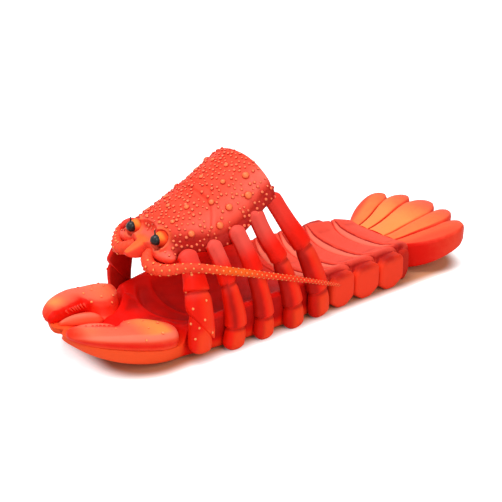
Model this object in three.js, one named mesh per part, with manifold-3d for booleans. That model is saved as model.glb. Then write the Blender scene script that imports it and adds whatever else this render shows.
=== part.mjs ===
// Lobster-shaped slide sandal, adult size, left-right symmetric.
// Millimetres, +Z up. The toe points to -Y, the tail to +Y, and Z = 0 is the ground.
// The sole is the lobster's body: two claws lie on the toe, the abdomen is the heel,
// and the tail fan trails behind it. The carapace is the upper, held by ten strap legs.

import * as THREE from "three";
import { mergeVertices } from "three/addons/utils/BufferGeometryUtils.js";
import Module from "manifold-3d";

const wasm = await Module();
wasm.setup();

// Driving dimensions

const GAP = 0.45; // growth of a neighbour before it is cut away, about 0.3 mm of clearance
const SEAT_GAP = 0.65; // between the claws and the sole under them
const RIM_HEIGHT = 28; // edge of the footbed above the ground
const HEEL_START = 17; // the abdomen segments begin here
const SEGMENT_ENDS = [41, 67, 93.5, 111]; // rear end of each abdomen segment, at the side
const ARC_DEPTH = 11; // how far the front edge of a segment curves toward the toe
const LEDGE_DEPTH = 3.6; // the second, flatter arc behind it
const LEDGE_RISE = 1.3; // step between the two
const TAIL_LENGTH = 62; // tail fan, root to tip
const ROOT_HEIGHT = 24.2; // top of the fan where it leaves the heel
const ROOT_THICKNESS = 21; // fan at its root
const TIP_THICKNESS = 12; // fan at its tips
const SHELL_THICKNESS = 6; // carapace wall
const EYE_RADIUS = 3.4;

// Paint

const PAINT = {
  shell: { color: 0xe8503a, roughness: 0.5 },
  leg: { color: 0xdc2a12, roughness: 0.5 },
  claw: { color: 0xe8401c, roughness: 0.5 },
  footbed: { color: 0xd63222, roughness: 0.6 },
  abdomen: { color: 0xe4553f, roughness: 0.6 },
  fan: { color: 0xf07038, roughness: 0.5 },
  stalk: { color: 0xee6a22, roughness: 0.5 },
  eye: { color: 0x121212, roughness: 0.2 },
};

// Small helpers

const { clamp, lerp, smoothstep } = THREE.MathUtils;
const SIDES = [
  { name: "left", sign: 1 },
  { name: "right", sign: -1 },
];

/** Vector from a three-number list. */
function point([x, y, z]) {
  return new THREE.Vector3(x, y, z);
}

/** Smooth function through [position, value] stations. */
function through(stations) {
  const last = stations.length - 1;
  const slope = (i) => {
    const [x0, y0] = stations[Math.max(i - 1, 0)];
    const [x1, y1] = stations[Math.min(i + 1, last)];
    return (y1 - y0) / (x1 - x0);
  };
  return (position) => {
    const x = clamp(position, stations[0][0], stations[last][0]);
    let i = 0;
    while (i < last - 1 && x > stations[i + 1][0]) i += 1;
    const [x0, y0] = stations[i];
    const [x1, y1] = stations[i + 1];
    const h = x1 - x0;
    const t = (x - x0) / h;
    const t2 = t * t;
    const t3 = t2 * t;
    const start = (2 * t3 - 3 * t2 + 1) * y0 + (t3 - 2 * t2 + t) * h * slope(i);
    return start + (3 * t2 - 2 * t3) * y1 + (t3 - t2) * h * slope(i + 1);
  };
}

/** Parameter 0..1 in equal steps, crowded toward both ends. */
function crowded(t) {
  return 0.5 - 0.5 * Math.cos(Math.PI * t);
}

/** Power that keeps the sign, for superellipse sections. */
function signedPower(value, exponent) {
  return Math.sign(value) * Math.abs(value) ** exponent;
}

/** Indexed geometry from points and triangles, faces turned outward. */
function closedGeometry(points, index) {
  let volume = 0;
  for (let i = 0; i < index.length; i += 3) {
    const [a, b, c] = [points[index[i]], points[index[i + 1]], points[index[i + 2]]];
    volume += a.dot(new THREE.Vector3().crossVectors(b, c));
  }
  if (volume < 0) index.reverse();
  const geometry = new THREE.BufferGeometry();
  const flat = points.flatMap((p) => p.toArray());
  geometry.setAttribute("position", new THREE.Float32BufferAttribute(flat, 3));
  geometry.setIndex(index);
  return geometry;
}

/** Solid skinned over closed rings of equal count, with a fan over each end. */
function loft(rings) {
  const count = rings[0].length;
  const points = rings.flat();
  const index = [];
  for (let i = 0; i < rings.length - 1; i += 1) {
    for (let j = 0; j < count; j += 1) {
      const a = i * count + j;
      const b = i * count + ((j + 1) % count);
      index.push(a, b, b + count, a, b + count, a + count);
    }
  }
  for (const [ring, turn] of [[0, 1], [rings.length - 1, -1]]) {
    const opposite = rings[ring][Math.floor(count / 2)];
    const hub = points.push(rings[ring][0].clone().lerp(opposite, 0.5)) - 1;
    for (let j = 0; j < count; j += 1) {
      const a = ring * count + j;
      const b = ring * count + ((j + 1) % count);
      index.push(...(turn > 0 ? [hub, b, a] : [hub, a, b]));
    }
  }
  return closedGeometry(points, index);
}

/** Solid between an upper and a lower surface, both given over u and v from 0 to 1. */
function slab(rows, columns, upper, lower) {
  const points = [];
  for (const surface of [upper, lower]) {
    for (let i = 0; i <= rows; i += 1) {
      for (let j = 0; j <= columns; j += 1) {
        points.push(surface(crowded(i / rows), crowded(j / columns)));
      }
    }
  }
  const at = (side, i, j) => (side * (rows + 1) + i) * (columns + 1) + j;
  const index = [];
  const quad = (a, b, c, d) => index.push(a, b, c, a, c, d);
  for (let i = 0; i < rows; i += 1) {
    for (let j = 0; j < columns; j += 1) {
      quad(at(0, i, j), at(0, i, j + 1), at(0, i + 1, j + 1), at(0, i + 1, j));
      quad(at(1, i, j), at(1, i + 1, j), at(1, i + 1, j + 1), at(1, i, j + 1));
    }
  }
  for (let i = 0; i < rows; i += 1) {
    quad(at(0, i, 0), at(0, i + 1, 0), at(1, i + 1, 0), at(1, i, 0));
    quad(at(0, i + 1, columns), at(0, i, columns), at(1, i, columns), at(1, i + 1, columns));
  }
  for (let j = 0; j < columns; j += 1) {
    quad(at(0, 0, j + 1), at(0, 0, j), at(1, 0, j), at(1, 0, j + 1));
    quad(at(0, rows, j), at(0, rows, j + 1), at(1, rows, j + 1), at(1, rows, j));
  }
  return closedGeometry(points, index);
}

/** Copy of a geometry mirrored across the X = 0 plane. */
function mirrored(geometry) {
  const copy = geometry.clone().applyMatrix4(new THREE.Matrix4().makeScale(-1, 1, 1));
  copy.setIndex([...copy.index.array].reverse());
  return copy;
}

/** Geometry on the wanted side: as modelled on +X, or mirrored. */
function onSide(side, geometry) {
  return side.sign > 0 ? geometry : mirrored(geometry);
}

/** Indexed copy that holds nothing but positions, without collapsed triangles. */
function bare(geometry) {
  const copy = geometry.clone();
  copy.deleteAttribute("normal");
  copy.deleteAttribute("uv");
  const merged = mergeVertices(copy, 1e-4);
  const kept = [];
  for (let i = 0; i < merged.index.count; i += 3) {
    const [a, b, c] = [0, 1, 2].map((k) => merged.index.getX(i + k));
    if (a !== b && b !== c && c !== a) kept.push(a, b, c);
  }
  merged.setIndex(kept);
  return merged;
}

/** Every vertex moved outward along its normal. */
function inflated(geometry, distance) {
  const grown = bare(geometry);
  grown.computeVertexNormals();
  const position = grown.attributes.position;
  const normal = grown.attributes.normal;
  for (let i = 0; i < position.count; i += 1) {
    position.setXYZ(
      i,
      position.getX(i) + distance * normal.getX(i),
      position.getY(i) + distance * normal.getY(i),
      position.getZ(i) + distance * normal.getZ(i),
    );
  }
  return grown;
}

function toManifold(geometry) {
  const clean = bare(geometry);
  const vertProperties = new Float32Array(clean.attributes.position.array);
  const triVerts = new Uint32Array(clean.index.array);
  return new wasm.Manifold(new wasm.Mesh({ numProp: 3, vertProperties, triVerts }));
}

function fromManifold(solid) {
  const mesh = solid.getMesh();
  const geometry = new THREE.BufferGeometry();
  geometry.setAttribute("position", new THREE.Float32BufferAttribute(mesh.vertProperties, 3));
  geometry.setIndex([...mesh.triVerts]);
  return geometry;
}

/** Geometries joined into one solid. */
function joined(...geometries) {
  const solids = geometries.map(toManifold);
  return fromManifold(solids.reduce((sum, next) => sum.add(next)));
}

/** Geometry without the space of its neighbours and a small clearance around them. */
function clearOf(geometry, ...neighbours) {
  const solids = neighbours.map((neighbour) => toManifold(inflated(neighbour, GAP)));
  return fromManifold(solids.reduce((rest, next) => rest.subtract(next), toManifold(geometry)));
}

/** Geometry without a plain cutting tool. */
function cut(geometry, ...tools) {
  return fromManifold(
    tools.map(toManifold).reduce((rest, next) => rest.subtract(next), toManifold(geometry)),
  );
}

/** Ellipsoid at a place. */
function ellipsoid(centre, radii, across = 12, around = 8) {
  const ball = new THREE.SphereGeometry(1, across, around);
  ball.scale(radii[0], radii[1], radii[2]);
  return ball.translate(centre[0], centre[1], centre[2]);
}

// Sole: heights and widths along the shoe

const soleHalfWidth = through([
  [-173, 9], [-170, 21], [-162, 32.5], [-151, 40], [-137, 44.5], [-122, 46.5],
  [-104, 44.5], [-76, 47], [-50, 48.5], [-22, 48], [5, 45], [28, 43], [54, 42],
  [80, 40.5], [105, 35.5], [115, 33],
]);
const toeSpring = through([
  [-173, 19.5], [-170, 18.2], [-166, 15.8], [-160, 13], [-149, 8.7], [-135, 4.6], [-121, 2.1], [-110, 0.8], [-98, 0],
]);
const soleBottom = (y) => (y > -98 ? 0 : toeSpring(y));
const partingHeight = through([[-173, 25], [-152, 21.5], [-138, 18], [-122, 14.5], [-108, 13]]);
const rimHeight = through([
  [-173, 25], [-152, 21.5], [-138, 18], [-128, 18.6], [-112, 20], [-95, 24], [-60, 27.5],
  [0, RIM_HEIGHT], [93, RIM_HEIGHT], [112, 25.5],
]);
const dishHeight = through([
  [-173, 25], [-152, 21.5], [-138, 18], [-128, 18], [-100, 17.5], [-40, 18.5], [20, 19.5],
  [60, 21.5], [95, 24], [112, 25],
]);
const seatHalfWidth = through([[-173, 1.6], [-140, 2.2], [-133, 10], [-126, 11.3], [-118, 17.8], [-109, 30]]);

/** Closed section of the sole, whose middle is pushed toward the toe; shrunk, it closes an end. */
function soleRing(y, bulge, rise = 0, shrink = 1) {
  const w = soleHalfWidth(y);
  const floor = soleBottom(y);
  const toe = 1 - smoothstep(y, -109, -103);
  const seat = seatHalfWidth(y);
  const parting = partingHeight(y);
  const top = rimHeight(y) + rise;
  const dish = dishHeight(y) + rise;
  const behind = [
    [w, lerp(floor, top, 0.3)],
    [w, top - 4],
    [w - 0.9, top - 1],
    [w - 4, top],
    [w - 9, lerp(top, dish, 0.3)],
    [w * 0.62, lerp(top, dish, 0.72)],
    [w * 0.32, lerp(top, dish, 0.94)],
  ];
  const underClaw = [
    [w - 0.4, lerp(floor, parting, 0.55)],
    [w, parting],
    [lerp(w, seat, 0.4), parting],
    [lerp(w, seat, 0.8), parting],
    [seat, parting],
    [seat * 0.92, top],
    [seat * 0.5, dish],
  ];
  const half = [
    [w * 0.5, floor],
    [w * 0.88, floor],
    [w * 0.96, floor + 1.6],
    ...behind.map(([x, z], i) => [lerp(x, underClaw[i][0], toe), lerp(z, underClaw[i][1], toe)]),
  ];
  const place = (x, z) => {
    const inward = x * shrink;
    return point([inward, y - bulge * (1 - (inward / w) ** 2), lerp((floor + dish) / 2, z, shrink)]);
  };
  return [
    place(0, floor),
    ...half.map(([x, z]) => place(x, z)),
    place(0, dish),
    ...half.map(([x, z]) => place(-x, z)).reverse(),
  ];
}

/** Rings that close the sole with a curved end, outermost first. */
function arcEnd(y, bulge) {
  return [1, 0.55].map((shrink) => soleRing(y, bulge, 0, shrink));
}

/** Front of the sole, from the toe notch to the first abdomen segment. */
function soleFront() {
  const stations = [
    -173, -171, -167, -160, -152, -145, -139, -135, -129, -123, -118, -113, -109, -106, -103,
    -92, -72, -50, -28, -8,
  ];
  const rings = stations.map((y) => soleRing(y, 0));
  rings.push(soleRing(HEEL_START - 6, ARC_DEPTH * 0.7), ...arcEnd(HEEL_START, ARC_DEPTH));
  const notch = new THREE.CylinderGeometry(5, 5, 60, 10).rotateX(Math.PI / 2);
  return cut(loft(rings), notch.translate(0, -176.4, 0));
}

/** One slice of the heel with its curved front edge and its crescent ledge. */
function abdomenSlice(front, rear, rearBulge) {
  const clearance = 0.9;
  const rings = [
    ...arcEnd(front + clearance, ARC_DEPTH).reverse(),
    soleRing(front + 1.3, LEDGE_DEPTH + 0.5),
    soleRing(front + 1.7, LEDGE_DEPTH, LEDGE_RISE),
    soleRing(lerp(front, rear, 0.55), lerp(LEDGE_DEPTH, rearBulge, 0.5), LEDGE_RISE * 0.6),
    ...arcEnd(rear, rearBulge),
  ];
  return loft(rings);
}

/** Side plate that hangs over the heel's wall, drawn from the side and rounded. */
function sidePlate(front, rear, outerX, topZ) {
  const round = 2.6;
  const depth = outerX - round - (soleHalfWidth(rear) - 1.5);
  const low = round + 0.1;
  const outline = new THREE.Shape();
  const a = front + round;
  const b = rear - round;
  outline.moveTo(a, 4.5 + round);
  outline.lineTo(lerp(a, b, 0.3), low);
  outline.lineTo(lerp(a, b, 0.62), low);
  outline.lineTo(b, 5.5 + round);
  outline.lineTo(b - 1, topZ - round - 2);
  outline.quadraticCurveTo(lerp(a, b, 0.88), topZ - round, lerp(a, b, 0.55), topZ - round);
  outline.quadraticCurveTo(lerp(a, b, 0.06), topZ - round, a, topZ - round - 5);
  const plate = new THREE.ExtrudeGeometry(outline, {
    depth,
    curveSegments: 3,
    bevelEnabled: true,
    bevelThickness: round,
    bevelSize: round,
    bevelSegments: 2,
  });
  plate.applyMatrix4(new THREE.Matrix4().makeBasis(
    new THREE.Vector3(0, 1, 0),
    new THREE.Vector3(0, 0, 1),
    new THREE.Vector3(1, 0, 0),
  ));
  return plate.translate(outerX - depth - round, 0, 0);
}

// Toe: two claws, each a palm with a fixed finger, and a movable-looking finger beside it

const CLAW_TEETH = 7;
const TOOTH_HEIGHT = 1.3;
const FINGER_RISE = 6; // dome of the movable finger, highest near the middle of the toe

const clawOuter = new THREE.CatmullRomCurve3([
  [37, -108.5, 0], [47, -112, 0], [49.5, -122, 0], [47.3, -136, 0], [43, -150, 0],
  [35, -162.5, 0], [24, -171.7, 0], [13.5, -175, 0],
].map(point));
const clawInner = new THREE.CatmullRomCurve3([
  [34, -109, 0], [21, -117, 0], [12.5, -128, 0], [14, -135.5, 0], [20.6, -141.5, 0],
  [18.2, -149.5, 0], [15.6, -156, 0], [9, -169, 0],
].map(point));
const clawTop = through([
  [-175, 29], [-168, 31.5], [-155, 31.5], [-143, 30.3], [-132, 28.4], [-120, 27], [-108, 24],
]);

/** Zigzag along the inner edge of the fixed finger. */
function toothOffset(u) {
  const along = (u - 0.6) / 0.3;
  if (along < 0 || along > 1) return 0;
  const phase = (along * CLAW_TEETH) % 1;
  return TOOTH_HEIGHT * (1 - Math.abs(2 * phase - 1));
}

function clawPalm() {
  const rows = 26;
  const surface = (height) => (u, v) => {
    const even = Math.acos(1 - 2 * u) / Math.PI;
    const outer = clawOuter.getPoint(even);
    const inner = clawInner.getPoint(even);
    const across = new THREE.Vector3().subVectors(inner, outer).normalize();
    inner.addScaledVector(across, toothOffset(even));
    const spot = new THREE.Vector3().lerpVectors(inner, outer, v);
    return spot.setZ(height(spot, even, v));
  };
  const arch = (v) => {
    const [bend, fall] = v < 0.5 ? [2.2, 0.6] : [4, 0.5]; // sloping inner side, steep outer side
    return (1 - Math.abs(2 * v - 1) ** bend) ** fall;
  };
  const top = surface((spot, u, v) => {
    const base = partingHeight(spot.y) + SEAT_GAP;
    const endRound = Math.sqrt(clamp(1 - (1 - clamp(u / 0.12, 0, 1)) ** 2, 0.04, 1));
    const lip = v < 0.5 ? lerp(0.25, 0.55, smoothstep(u, 0.5, 0.6)) : 0;
    return lerp(base, clawTop(spot.y), Math.max(arch(v), lip) * endRound) + 0.4;
  });
  const bottom = surface((spot) => partingHeight(spot.y) + SEAT_GAP);
  return slab(rows, 6, top, bottom);
}

const fingerOuter = new THREE.CatmullRomCurve3([
  [12, -135.6, 0], [19.6, -142, 0], [17.6, -149.5, 0], [15, -156, 0], [8.4, -168.3, 0],
].map(point));
const fingerInner = new THREE.CatmullRomCurve3([
  [7, -135.4, 0], [3.4, -141, 0], [2.4, -149, 0], [2.6, -158, 0], [6.4, -168, 0],
].map(point));

function clawFinger() {
  const surface = (height) => (u, v) => {
    const outer = fingerOuter.getPoint(u);
    const inner = fingerInner.getPoint(u);
    const spot = new THREE.Vector3().lerpVectors(inner, outer, v);
    return spot.setZ(height(spot, u, v));
  };
  const arch = (v) => (1 - Math.abs(2 * v ** 0.8 - 1) ** 2.2) ** 0.6;
  const ends = (u) => Math.sqrt(clamp(4 * u * (1 - u), 0.05, 1));
  const base = (y) => partingHeight(y) + SEAT_GAP;
  const top = surface((spot, u, v) => base(spot.y) + 0.4 + FINGER_RISE * arch(v) * ends(u));
  return slab(12, 6, top, surface((spot) => base(spot.y)));
}

// Legs: jointed straps from the carapace down to the sole's side

/** D-shaped section: rounded outside, flatter inside. */
function strapRing(centre, along, width, depth) {
  const tangent = along.clone().normalize();
  const outward = new THREE.Vector3(1, 0, 0).projectOnPlane(tangent).normalize();
  const across = new THREE.Vector3().crossVectors(tangent, outward);
  const ring = [];
  const count = 8;
  for (let i = 0; i < count; i += 1) {
    const angle = (2 * Math.PI * i) / count;
    const w = signedPower(Math.cos(angle), 0.72) * width * 0.5;
    const d = signedPower(Math.sin(angle), 0.75) * depth * 0.5 - depth * 0.5;
    ring.push(centre.clone().addScaledVector(across, w).addScaledVector(outward, d));
  }
  return ring;
}

/** Strap made of segments along a path; each segment widens to a stepped joint. */
function jointedStrap({ path, joints, widths, depths }) {
  const curve = new THREE.CatmullRomCurve3(path.map(point), false, "centripetal");
  const width = through(widths.map((value, i) => [i / (widths.length - 1), value]));
  const depth = through(depths.map((value, i) => [i / (depths.length - 1), value]));
  const rings = [];
  const stops = [0, ...joints, 1];
  const marks = [0, 0.12, 0.5, 0.92, 1];
  for (let s = 0; s < stops.length - 1; s += 1) {
    const foot = s === stops.length - 2;
    for (const t of foot ? [0, 0.25, 0.55, 0.85, 1] : marks) {
      const u = clamp(lerp(stops[s], stops[s + 1], t) + (t === 0 && s > 0 ? 0.004 : 0), 0, 1);
      const swell = foot
        ? 0.84 + 0.2 * Math.sin(Math.PI * (0.12 + 0.7 * t))
        : [s === 0 ? 0.93 : 0.84, 0.96, 1, 1.05, 0.94][marks.indexOf(t)];
      const ease = foot ? 1 - 0.7 * Math.max(0, t - 0.8) : 1;
      const centre = curve.getPointAt(u);
      const tangent = curve.getTangentAt(u);
      rings.push(strapRing(centre, tangent, width(u) * swell * ease, depth(u) * lerp(1, swell, 0.8) * ease));
    }
  }
  return loft(rings);
}

/** Strap set on the ground: whatever reaches below it is cut off flat. */
function grounded(strap) {
  const ground = new THREE.BoxGeometry(60, 60, 20);
  strap.computeBoundingBox();
  const middle = strap.boundingBox.getCenter(new THREE.Vector3());
  return cut(strap, ground.translate(middle.x, middle.y, -10));
}

const LEG_DEPTHS = [6.5, 7.8, 9.2, 9.8, 10];
const WALKING_LEGS = [
  { path: [[33, -77.6, 74], [45, -73.9, 60], [52, -70.7, 38], [55, -69.2, 20], [56, -72.6, 0]],
    joints: [0.393, 0.786], widths: [9.6, 10, 11.6, 14.2, 15.6, 15.6], depths: LEG_DEPTHS },
  { path: [[34, -59.3, 80], [43.5, -54.5, 66], [51, -50.4, 48], [55.5, -45.9, 20], [56.5, -47.4, 0]],
    joints: [0.406, 0.793], widths: [10, 11.8, 12.8, 13, 14.2, 14.6], depths: LEG_DEPTHS },
  { path: [[33, -41.6, 86], [43, -37.1, 71], [50.5, -29, 52], [55, -20.5, 20], [56.5, -20.5, 0]],
    joints: [0.416, 0.798], widths: [9.8, 10.8, 12, 13.6, 15.4, 15.5], depths: LEG_DEPTHS },
  { path: [[32, -26.1, 93], [43, -17.6, 75], [49.5, -8.1, 57], [54.5, 1.8, 27], [54, 5.4, 0]],
    joints: [0.417, 0.777], widths: [10.5, 12.4, 13.8, 15.4, 16.6, 16.5], depths: LEG_DEPTHS },
];
const CLAW_ARM = {
  path: [[34.2, -93.6, 71], [46.2, -95.8, 58], [52.4, -97, 47], [57, -98.4, 27], [51, -97, 2]],
  joints: [0.35, 0.68], widths: [11, 13.8, 18.4, 19.4, 15.4, 12.8], depths: [9, 10, 10, 10, 10],
};

// Carapace: the arched, pebbled shell that holds the foot

const shellHalfWidth = through([[-109, 23], [-102, 28.5], [-85, 32.5], [-60, 35.5], [-40, 37], [-23, 37]]);
const shellEdge = through([
  [-109, 67.5], [-90, 68.5], [-79, 70], [-67, 73], [-54, 77.5], [-43, 83], [-33, 88], [-24, 92.5],
]);
const shellRidge = through([
  [-109, 78], [-101, 82.5], [-93, 86.5], [-77, 95], [-56, 106.5], [-43, 113.5], [-31, 119.5],
]);
const SHELL_FRONT = -108;
const SHELL_REAR = -31;
const REAR_SWEEP = 6;

/** Point on the outside of the shell, u from head to rear and v from side to side. */
function shellPoint(u, v) {
  const angle = Math.PI * v;
  const c = Math.cos(angle);
  const along = lerp(SHELL_FRONT, SHELL_REAR, u);
  const sweep = REAR_SWEEP * c * c * smoothstep(u, 0.3, 1);
  const y = along + sweep;
  const x = shellHalfWidth(y) * signedPower(c, 2 / 2.4);
  const edge = shellEdge(y);
  const z = edge + (shellRidge(along) - edge) * Math.sin(angle) ** (2 / 1.6);
  return point([x, y, z]);
}

/** Outward direction of the shell's surface. */
function shellNormal(u, v) {
  const step = 0.01;
  const a = shellPoint(clamp(u - step, 0, 1), v);
  const b = shellPoint(clamp(u + step, 0, 1), v);
  const c = shellPoint(u, clamp(v - step, 0.002, 0.998));
  const d = shellPoint(u, clamp(v + step, 0.002, 0.998));
  return new THREE.Vector3().crossVectors(b.sub(a), d.sub(c)).normalize();
}

function shellBody() {
  const taper = (t) => Math.sqrt(clamp(1 - (1 - clamp(t, 0, 1)) ** 2, 0.02, 1));
  const layer = (share) => (u, v) => {
    const thin = taper(Math.min((1 - u) / 0.06, v / 0.05, (1 - v) / 0.05));
    const depth = SHELL_THICKNESS * (0.5 + share * thin);
    return shellPoint(u, v).addScaledVector(shellNormal(u, v), -depth);
  };
  return slab(12, 16, layer(-0.5), layer(0.5));
}

/** Beak between the eyes: a blunt wedge with steep sides. */
function snout() {
  const stations = [
    { y: -97, top: 79, bottom: 63, width: 21 },
    { y: -103, top: 74.6, bottom: 60.8, width: 15.5 },
    { y: -109, top: 71.8, bottom: 60, width: 11 },
    { y: -115, top: 69, bottom: 60.4, width: 8 },
    { y: -119.6, top: 66.8, bottom: 62.2, width: 5.4 },
    { y: -121.2, top: 65.8, bottom: 63.8, width: 3.4 },
  ];
  return loft(stations.map(({ y, top, bottom, width }) => {
    const ring = [];
    for (let i = 0; i < 10; i += 1) {
      const angle = (2 * Math.PI * i) / 10;
      ring.push(point([
        signedPower(Math.cos(angle), 0.6) * width * 0.5, y,
        (top + bottom) / 2 + signedPower(Math.sin(angle), 0.7) * (top - bottom) * 0.5,
      ]));
    }
    return ring;
  }));
}

/** Shell with its front scooped out round the eyes and closed below by the face. */
function carapace() {
  const face = ellipsoid([0, -102, 69.9], [27, 7.5, 7.6], 16, 8);
  const scoop = ellipsoid([0, -112, 80], [17, 12, 9], 14, 8);
  const sockets = SIDES.map((side) => ellipsoid([side.sign * 16, -105.6, 75.6], [7, 7, 7], 12, 8));
  return joined(cut(joined(shellBody(), face), scoop, ...sockets), snout());
}

const EYE_CENTRE = [15.3, -106, 75.6];

function eyestalk() {
  const rings = [
    { at: [14.6, -100.2, 72.8], radius: 6.4 },
    { at: [14.8, -102, 73.6], radius: 5.7 },
    { at: [15.1, -104, 74.6], radius: 4.1 },
    { at: EYE_CENTRE, radius: 2.4 },
  ].map(({ at, radius }) => {
    const ring = [];
    for (let i = 0; i < 10; i += 1) {
      const angle = (2 * Math.PI * i) / 10;
      ring.push(point([at[0] + radius * Math.cos(angle), at[1], at[2] + radius * Math.sin(angle)]));
    }
    return ring;
  });
  return loft(rings);
}

function eye() {
  const ball = ellipsoid(EYE_CENTRE, [EYE_RADIUS, EYE_RADIUS, EYE_RADIUS], 12, 8);
  const pin = new THREE.ConeGeometry(0.75, 5, 6).rotateX(Math.PI / 2);
  return joined(ball, pin.translate(EYE_CENTRE[0], EYE_CENTRE[1] - 0.4, EYE_CENTRE[2] + 4.6));
}

// Antennae: from beside the snout, round the cheek and back along the legs

const ANTENNA_ROUTE = [
  [9.5, -107.5, 66], [13, -112.4, 64.2], [18.5, -114.1, 61.7], [25, -112.6, 60.8], [32, -108.8, 61.2],
  [40, -102.5, 63.2], [46.5, -95, 63.5], [51.3, -84, 61], [54.4, -68, 56.2], [56.2, -49, 49.5],
  [57.3, -27, 41.6], [57.2, -5, 33], [55, 21, 22],
];
const antennaRadius = through([
  [0, 4.2], [0.05, 5.1], [0.13, 5.1], [0.2, 4.7], [0.27, 4.1], [0.36, 4], [0.48, 3.7], [0.6, 3.3],
  [0.74, 2.9], [0.87, 2.2], [0.95, 1.4], [1, 0.9],
]);

function antenna() {
  const curve = new THREE.CatmullRomCurve3(ANTENNA_ROUTE.map(point), false, "centripetal");
  const steps = 30;
  const sides = 8;
  const rings = [];
  for (let i = 0; i <= steps; i += 1) {
    const u = i / steps;
    const tangent = curve.getTangentAt(u);
    const up = new THREE.Vector3(0, 0, 1).projectOnPlane(tangent).normalize();
    const across = new THREE.Vector3().crossVectors(tangent, up);
    const centre = curve.getPointAt(u);
    const ring = [];
    for (let j = 0; j < sides; j += 1) {
      const angle = (2 * Math.PI * j) / sides;
      const radius = antennaRadius(u);
      ring.push(centre.clone()
        .addScaledVector(across, radius * Math.cos(angle))
        .addScaledVector(up, radius * Math.sin(angle)));
    }
    rings.push(ring);
  }
  return loft(rings);
}

// Tail fan: a telson between two pairs of petals

const FAN_ROOT = SEGMENT_ENDS[3];
const ROOT_BULGE = 2; // the heel's rear edge curves a little toward the toe
const ROOT_HALF_WIDTH = 33;

/** Start of the fan at x: just behind the heel's curved rear edge. */
function rootSpot(x) {
  return [x, FAN_ROOT + 0.5 - ROOT_BULGE * (1 - (x / ROOT_HALF_WIDTH) ** 2)];
}

/** Petal between two edges in plan, domed on top and lifted toward its tip. */
function petal({ left, right, tipLift }) {
  const edgeA = new THREE.CatmullRomCurve3(left.map(([x, y]) => point([x, y, 0])));
  const edgeB = new THREE.CatmullRomCurve3(right.map(([x, y]) => point([x, y, 0])));
  const surface = (height) => (u, v) => {
    const spot = new THREE.Vector3().lerpVectors(edgeA.getPoint(u), edgeB.getPoint(u), v);
    return spot.setZ(height(spot, u, v));
  };
  const reach = (y) => clamp((y - FAN_ROOT) / TAIL_LENGTH, 0, 1);
  const side = (v) => smoothstep(Math.abs(2 * v - 1), 0.8, 1);
  const dome = (u, v) => (1 - Math.abs(2 * v - 1) ** 2.4) * Math.sin(Math.PI * (0.12 + 0.8 * u));
  const rise = (y) => ROOT_HEIGHT + tipLift * smoothstep(reach(y), -0.1, 0.95);
  const top = surface((spot, u, v) => rise(spot.y) + 2.4 * dome(u, v) - 1.4 * side(v) - 2 * smoothstep(u, 0.93, 1));
  const bottom = surface((spot, u, v) => {
    const thickness = lerp(ROOT_THICKNESS, TIP_THICKNESS, reach(spot.y) ** 1.5);
    return rise(spot.y) - thickness + 2 * side(v) + 1.5 * smoothstep(u, 0.93, 1);
  });
  return slab(10, 6, top, bottom);
}

const TELSON = {
  left: [rootSpot(-9), [-10.5, 128], [-13.6, 148], [-14, 159], [-10, 169.5], [-4, 175]],
  right: [rootSpot(9), [10.5, 128], [13.6, 148], [14, 159], [10, 169.5], [4, 175]],
  tipLift: 13,
};
const INNER_PETAL = {
  left: [rootSpot(9.5), [11, 128], [14.1, 148], [14.8, 160], [16.5, 167.5], [21, 172]],
  right: [rootSpot(20), [24.5, 126], [30.5, 142], [33, 154], [32, 163.5], [27.5, 170.5]],
  tipLift: 13,
};
const OUTER_PETAL = {
  left: [rootSpot(20.5), [25, 126], [31, 142], [33.8, 153], [37, 158.5], [41.5, 161]],
  right: [rootSpot(33), [39, 118], [46.5, 130], [51, 143], [51.5, 152], [48.5, 159]],
  tipLift: 12,
};

// Assembly

const group = new THREE.Group();
group.name = "lobster_slide";

/** Named mesh with its own paint. */
function add(name, geometry, paint) {
  const shape = geometry.index ? geometry.toNonIndexed() : geometry;
  shape.deleteAttribute("normal");
  shape.computeVertexNormals();
  const material = new THREE.MeshStandardMaterial({ ...paint, metalness: 0 });
  const mesh = new THREE.Mesh(shape, material);
  mesh.name = name;
  group.add(mesh);
}

const upper = carapace();
const palm = clawPalm();
const finger = clearOf(clawFinger(), palm);
const feeler = clearOf(antenna(), upper);
const sole = soleFront();

add("sole_front", sole, PAINT.footbed);
add("carapace", upper, PAINT.shell);

SEGMENT_ENDS.forEach((rear, i) => {
  const front = i === 0 ? HEEL_START : SEGMENT_ENDS[i - 1];
  const last = i === SEGMENT_ENDS.length - 1;
  const slice = abdomenSlice(front, rear, last ? ROOT_BULGE : ARC_DEPTH);
  const plate = last
    ? sidePlate(front + 1, rear - 6, 42, 25)
    : sidePlate(front + 0.8, rear - 0.8, 49.5 - 0.6 * i, 26.6);
  const plates = SIDES.map((side) => onSide(side, bare(plate)));
  add(`abdomen_segment_${i + 1}`, joined(slice, ...plates), PAINT.abdomen);
});

add("telson", petal(TELSON), PAINT.fan);

for (const side of SIDES) {
  add(`claw_palm_${side.name}`, onSide(side, palm), PAINT.claw);
  add(`claw_finger_${side.name}`, onSide(side, finger), PAINT.claw);
  add(`uropod_inner_${side.name}`, onSide(side, petal(INNER_PETAL)), PAINT.fan);
  add(`uropod_outer_${side.name}`, onSide(side, petal(OUTER_PETAL)), PAINT.fan);
  add(`antenna_${side.name}`, onSide(side, feeler), PAINT.claw);
  const ball = eye();
  add(`eyestalk_${side.name}`, onSide(side, clearOf(eyestalk(), upper, ball)), PAINT.stalk);
  add(`eye_${side.name}`, onSide(side, ball), PAINT.eye);
  const arm = clearOf(grounded(jointedStrap(CLAW_ARM)), upper, feeler, sole, palm);
  add(`claw_arm_${side.name}`, onSide(side, arm), PAINT.leg);
  WALKING_LEGS.forEach((leg, i) => {
    const strap = clearOf(grounded(jointedStrap(leg)), upper, feeler, sole);
    add(`leg_${i + 1}_${side.name}`, onSide(side, strap), PAINT.leg);
  });
}

export default group;
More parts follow.
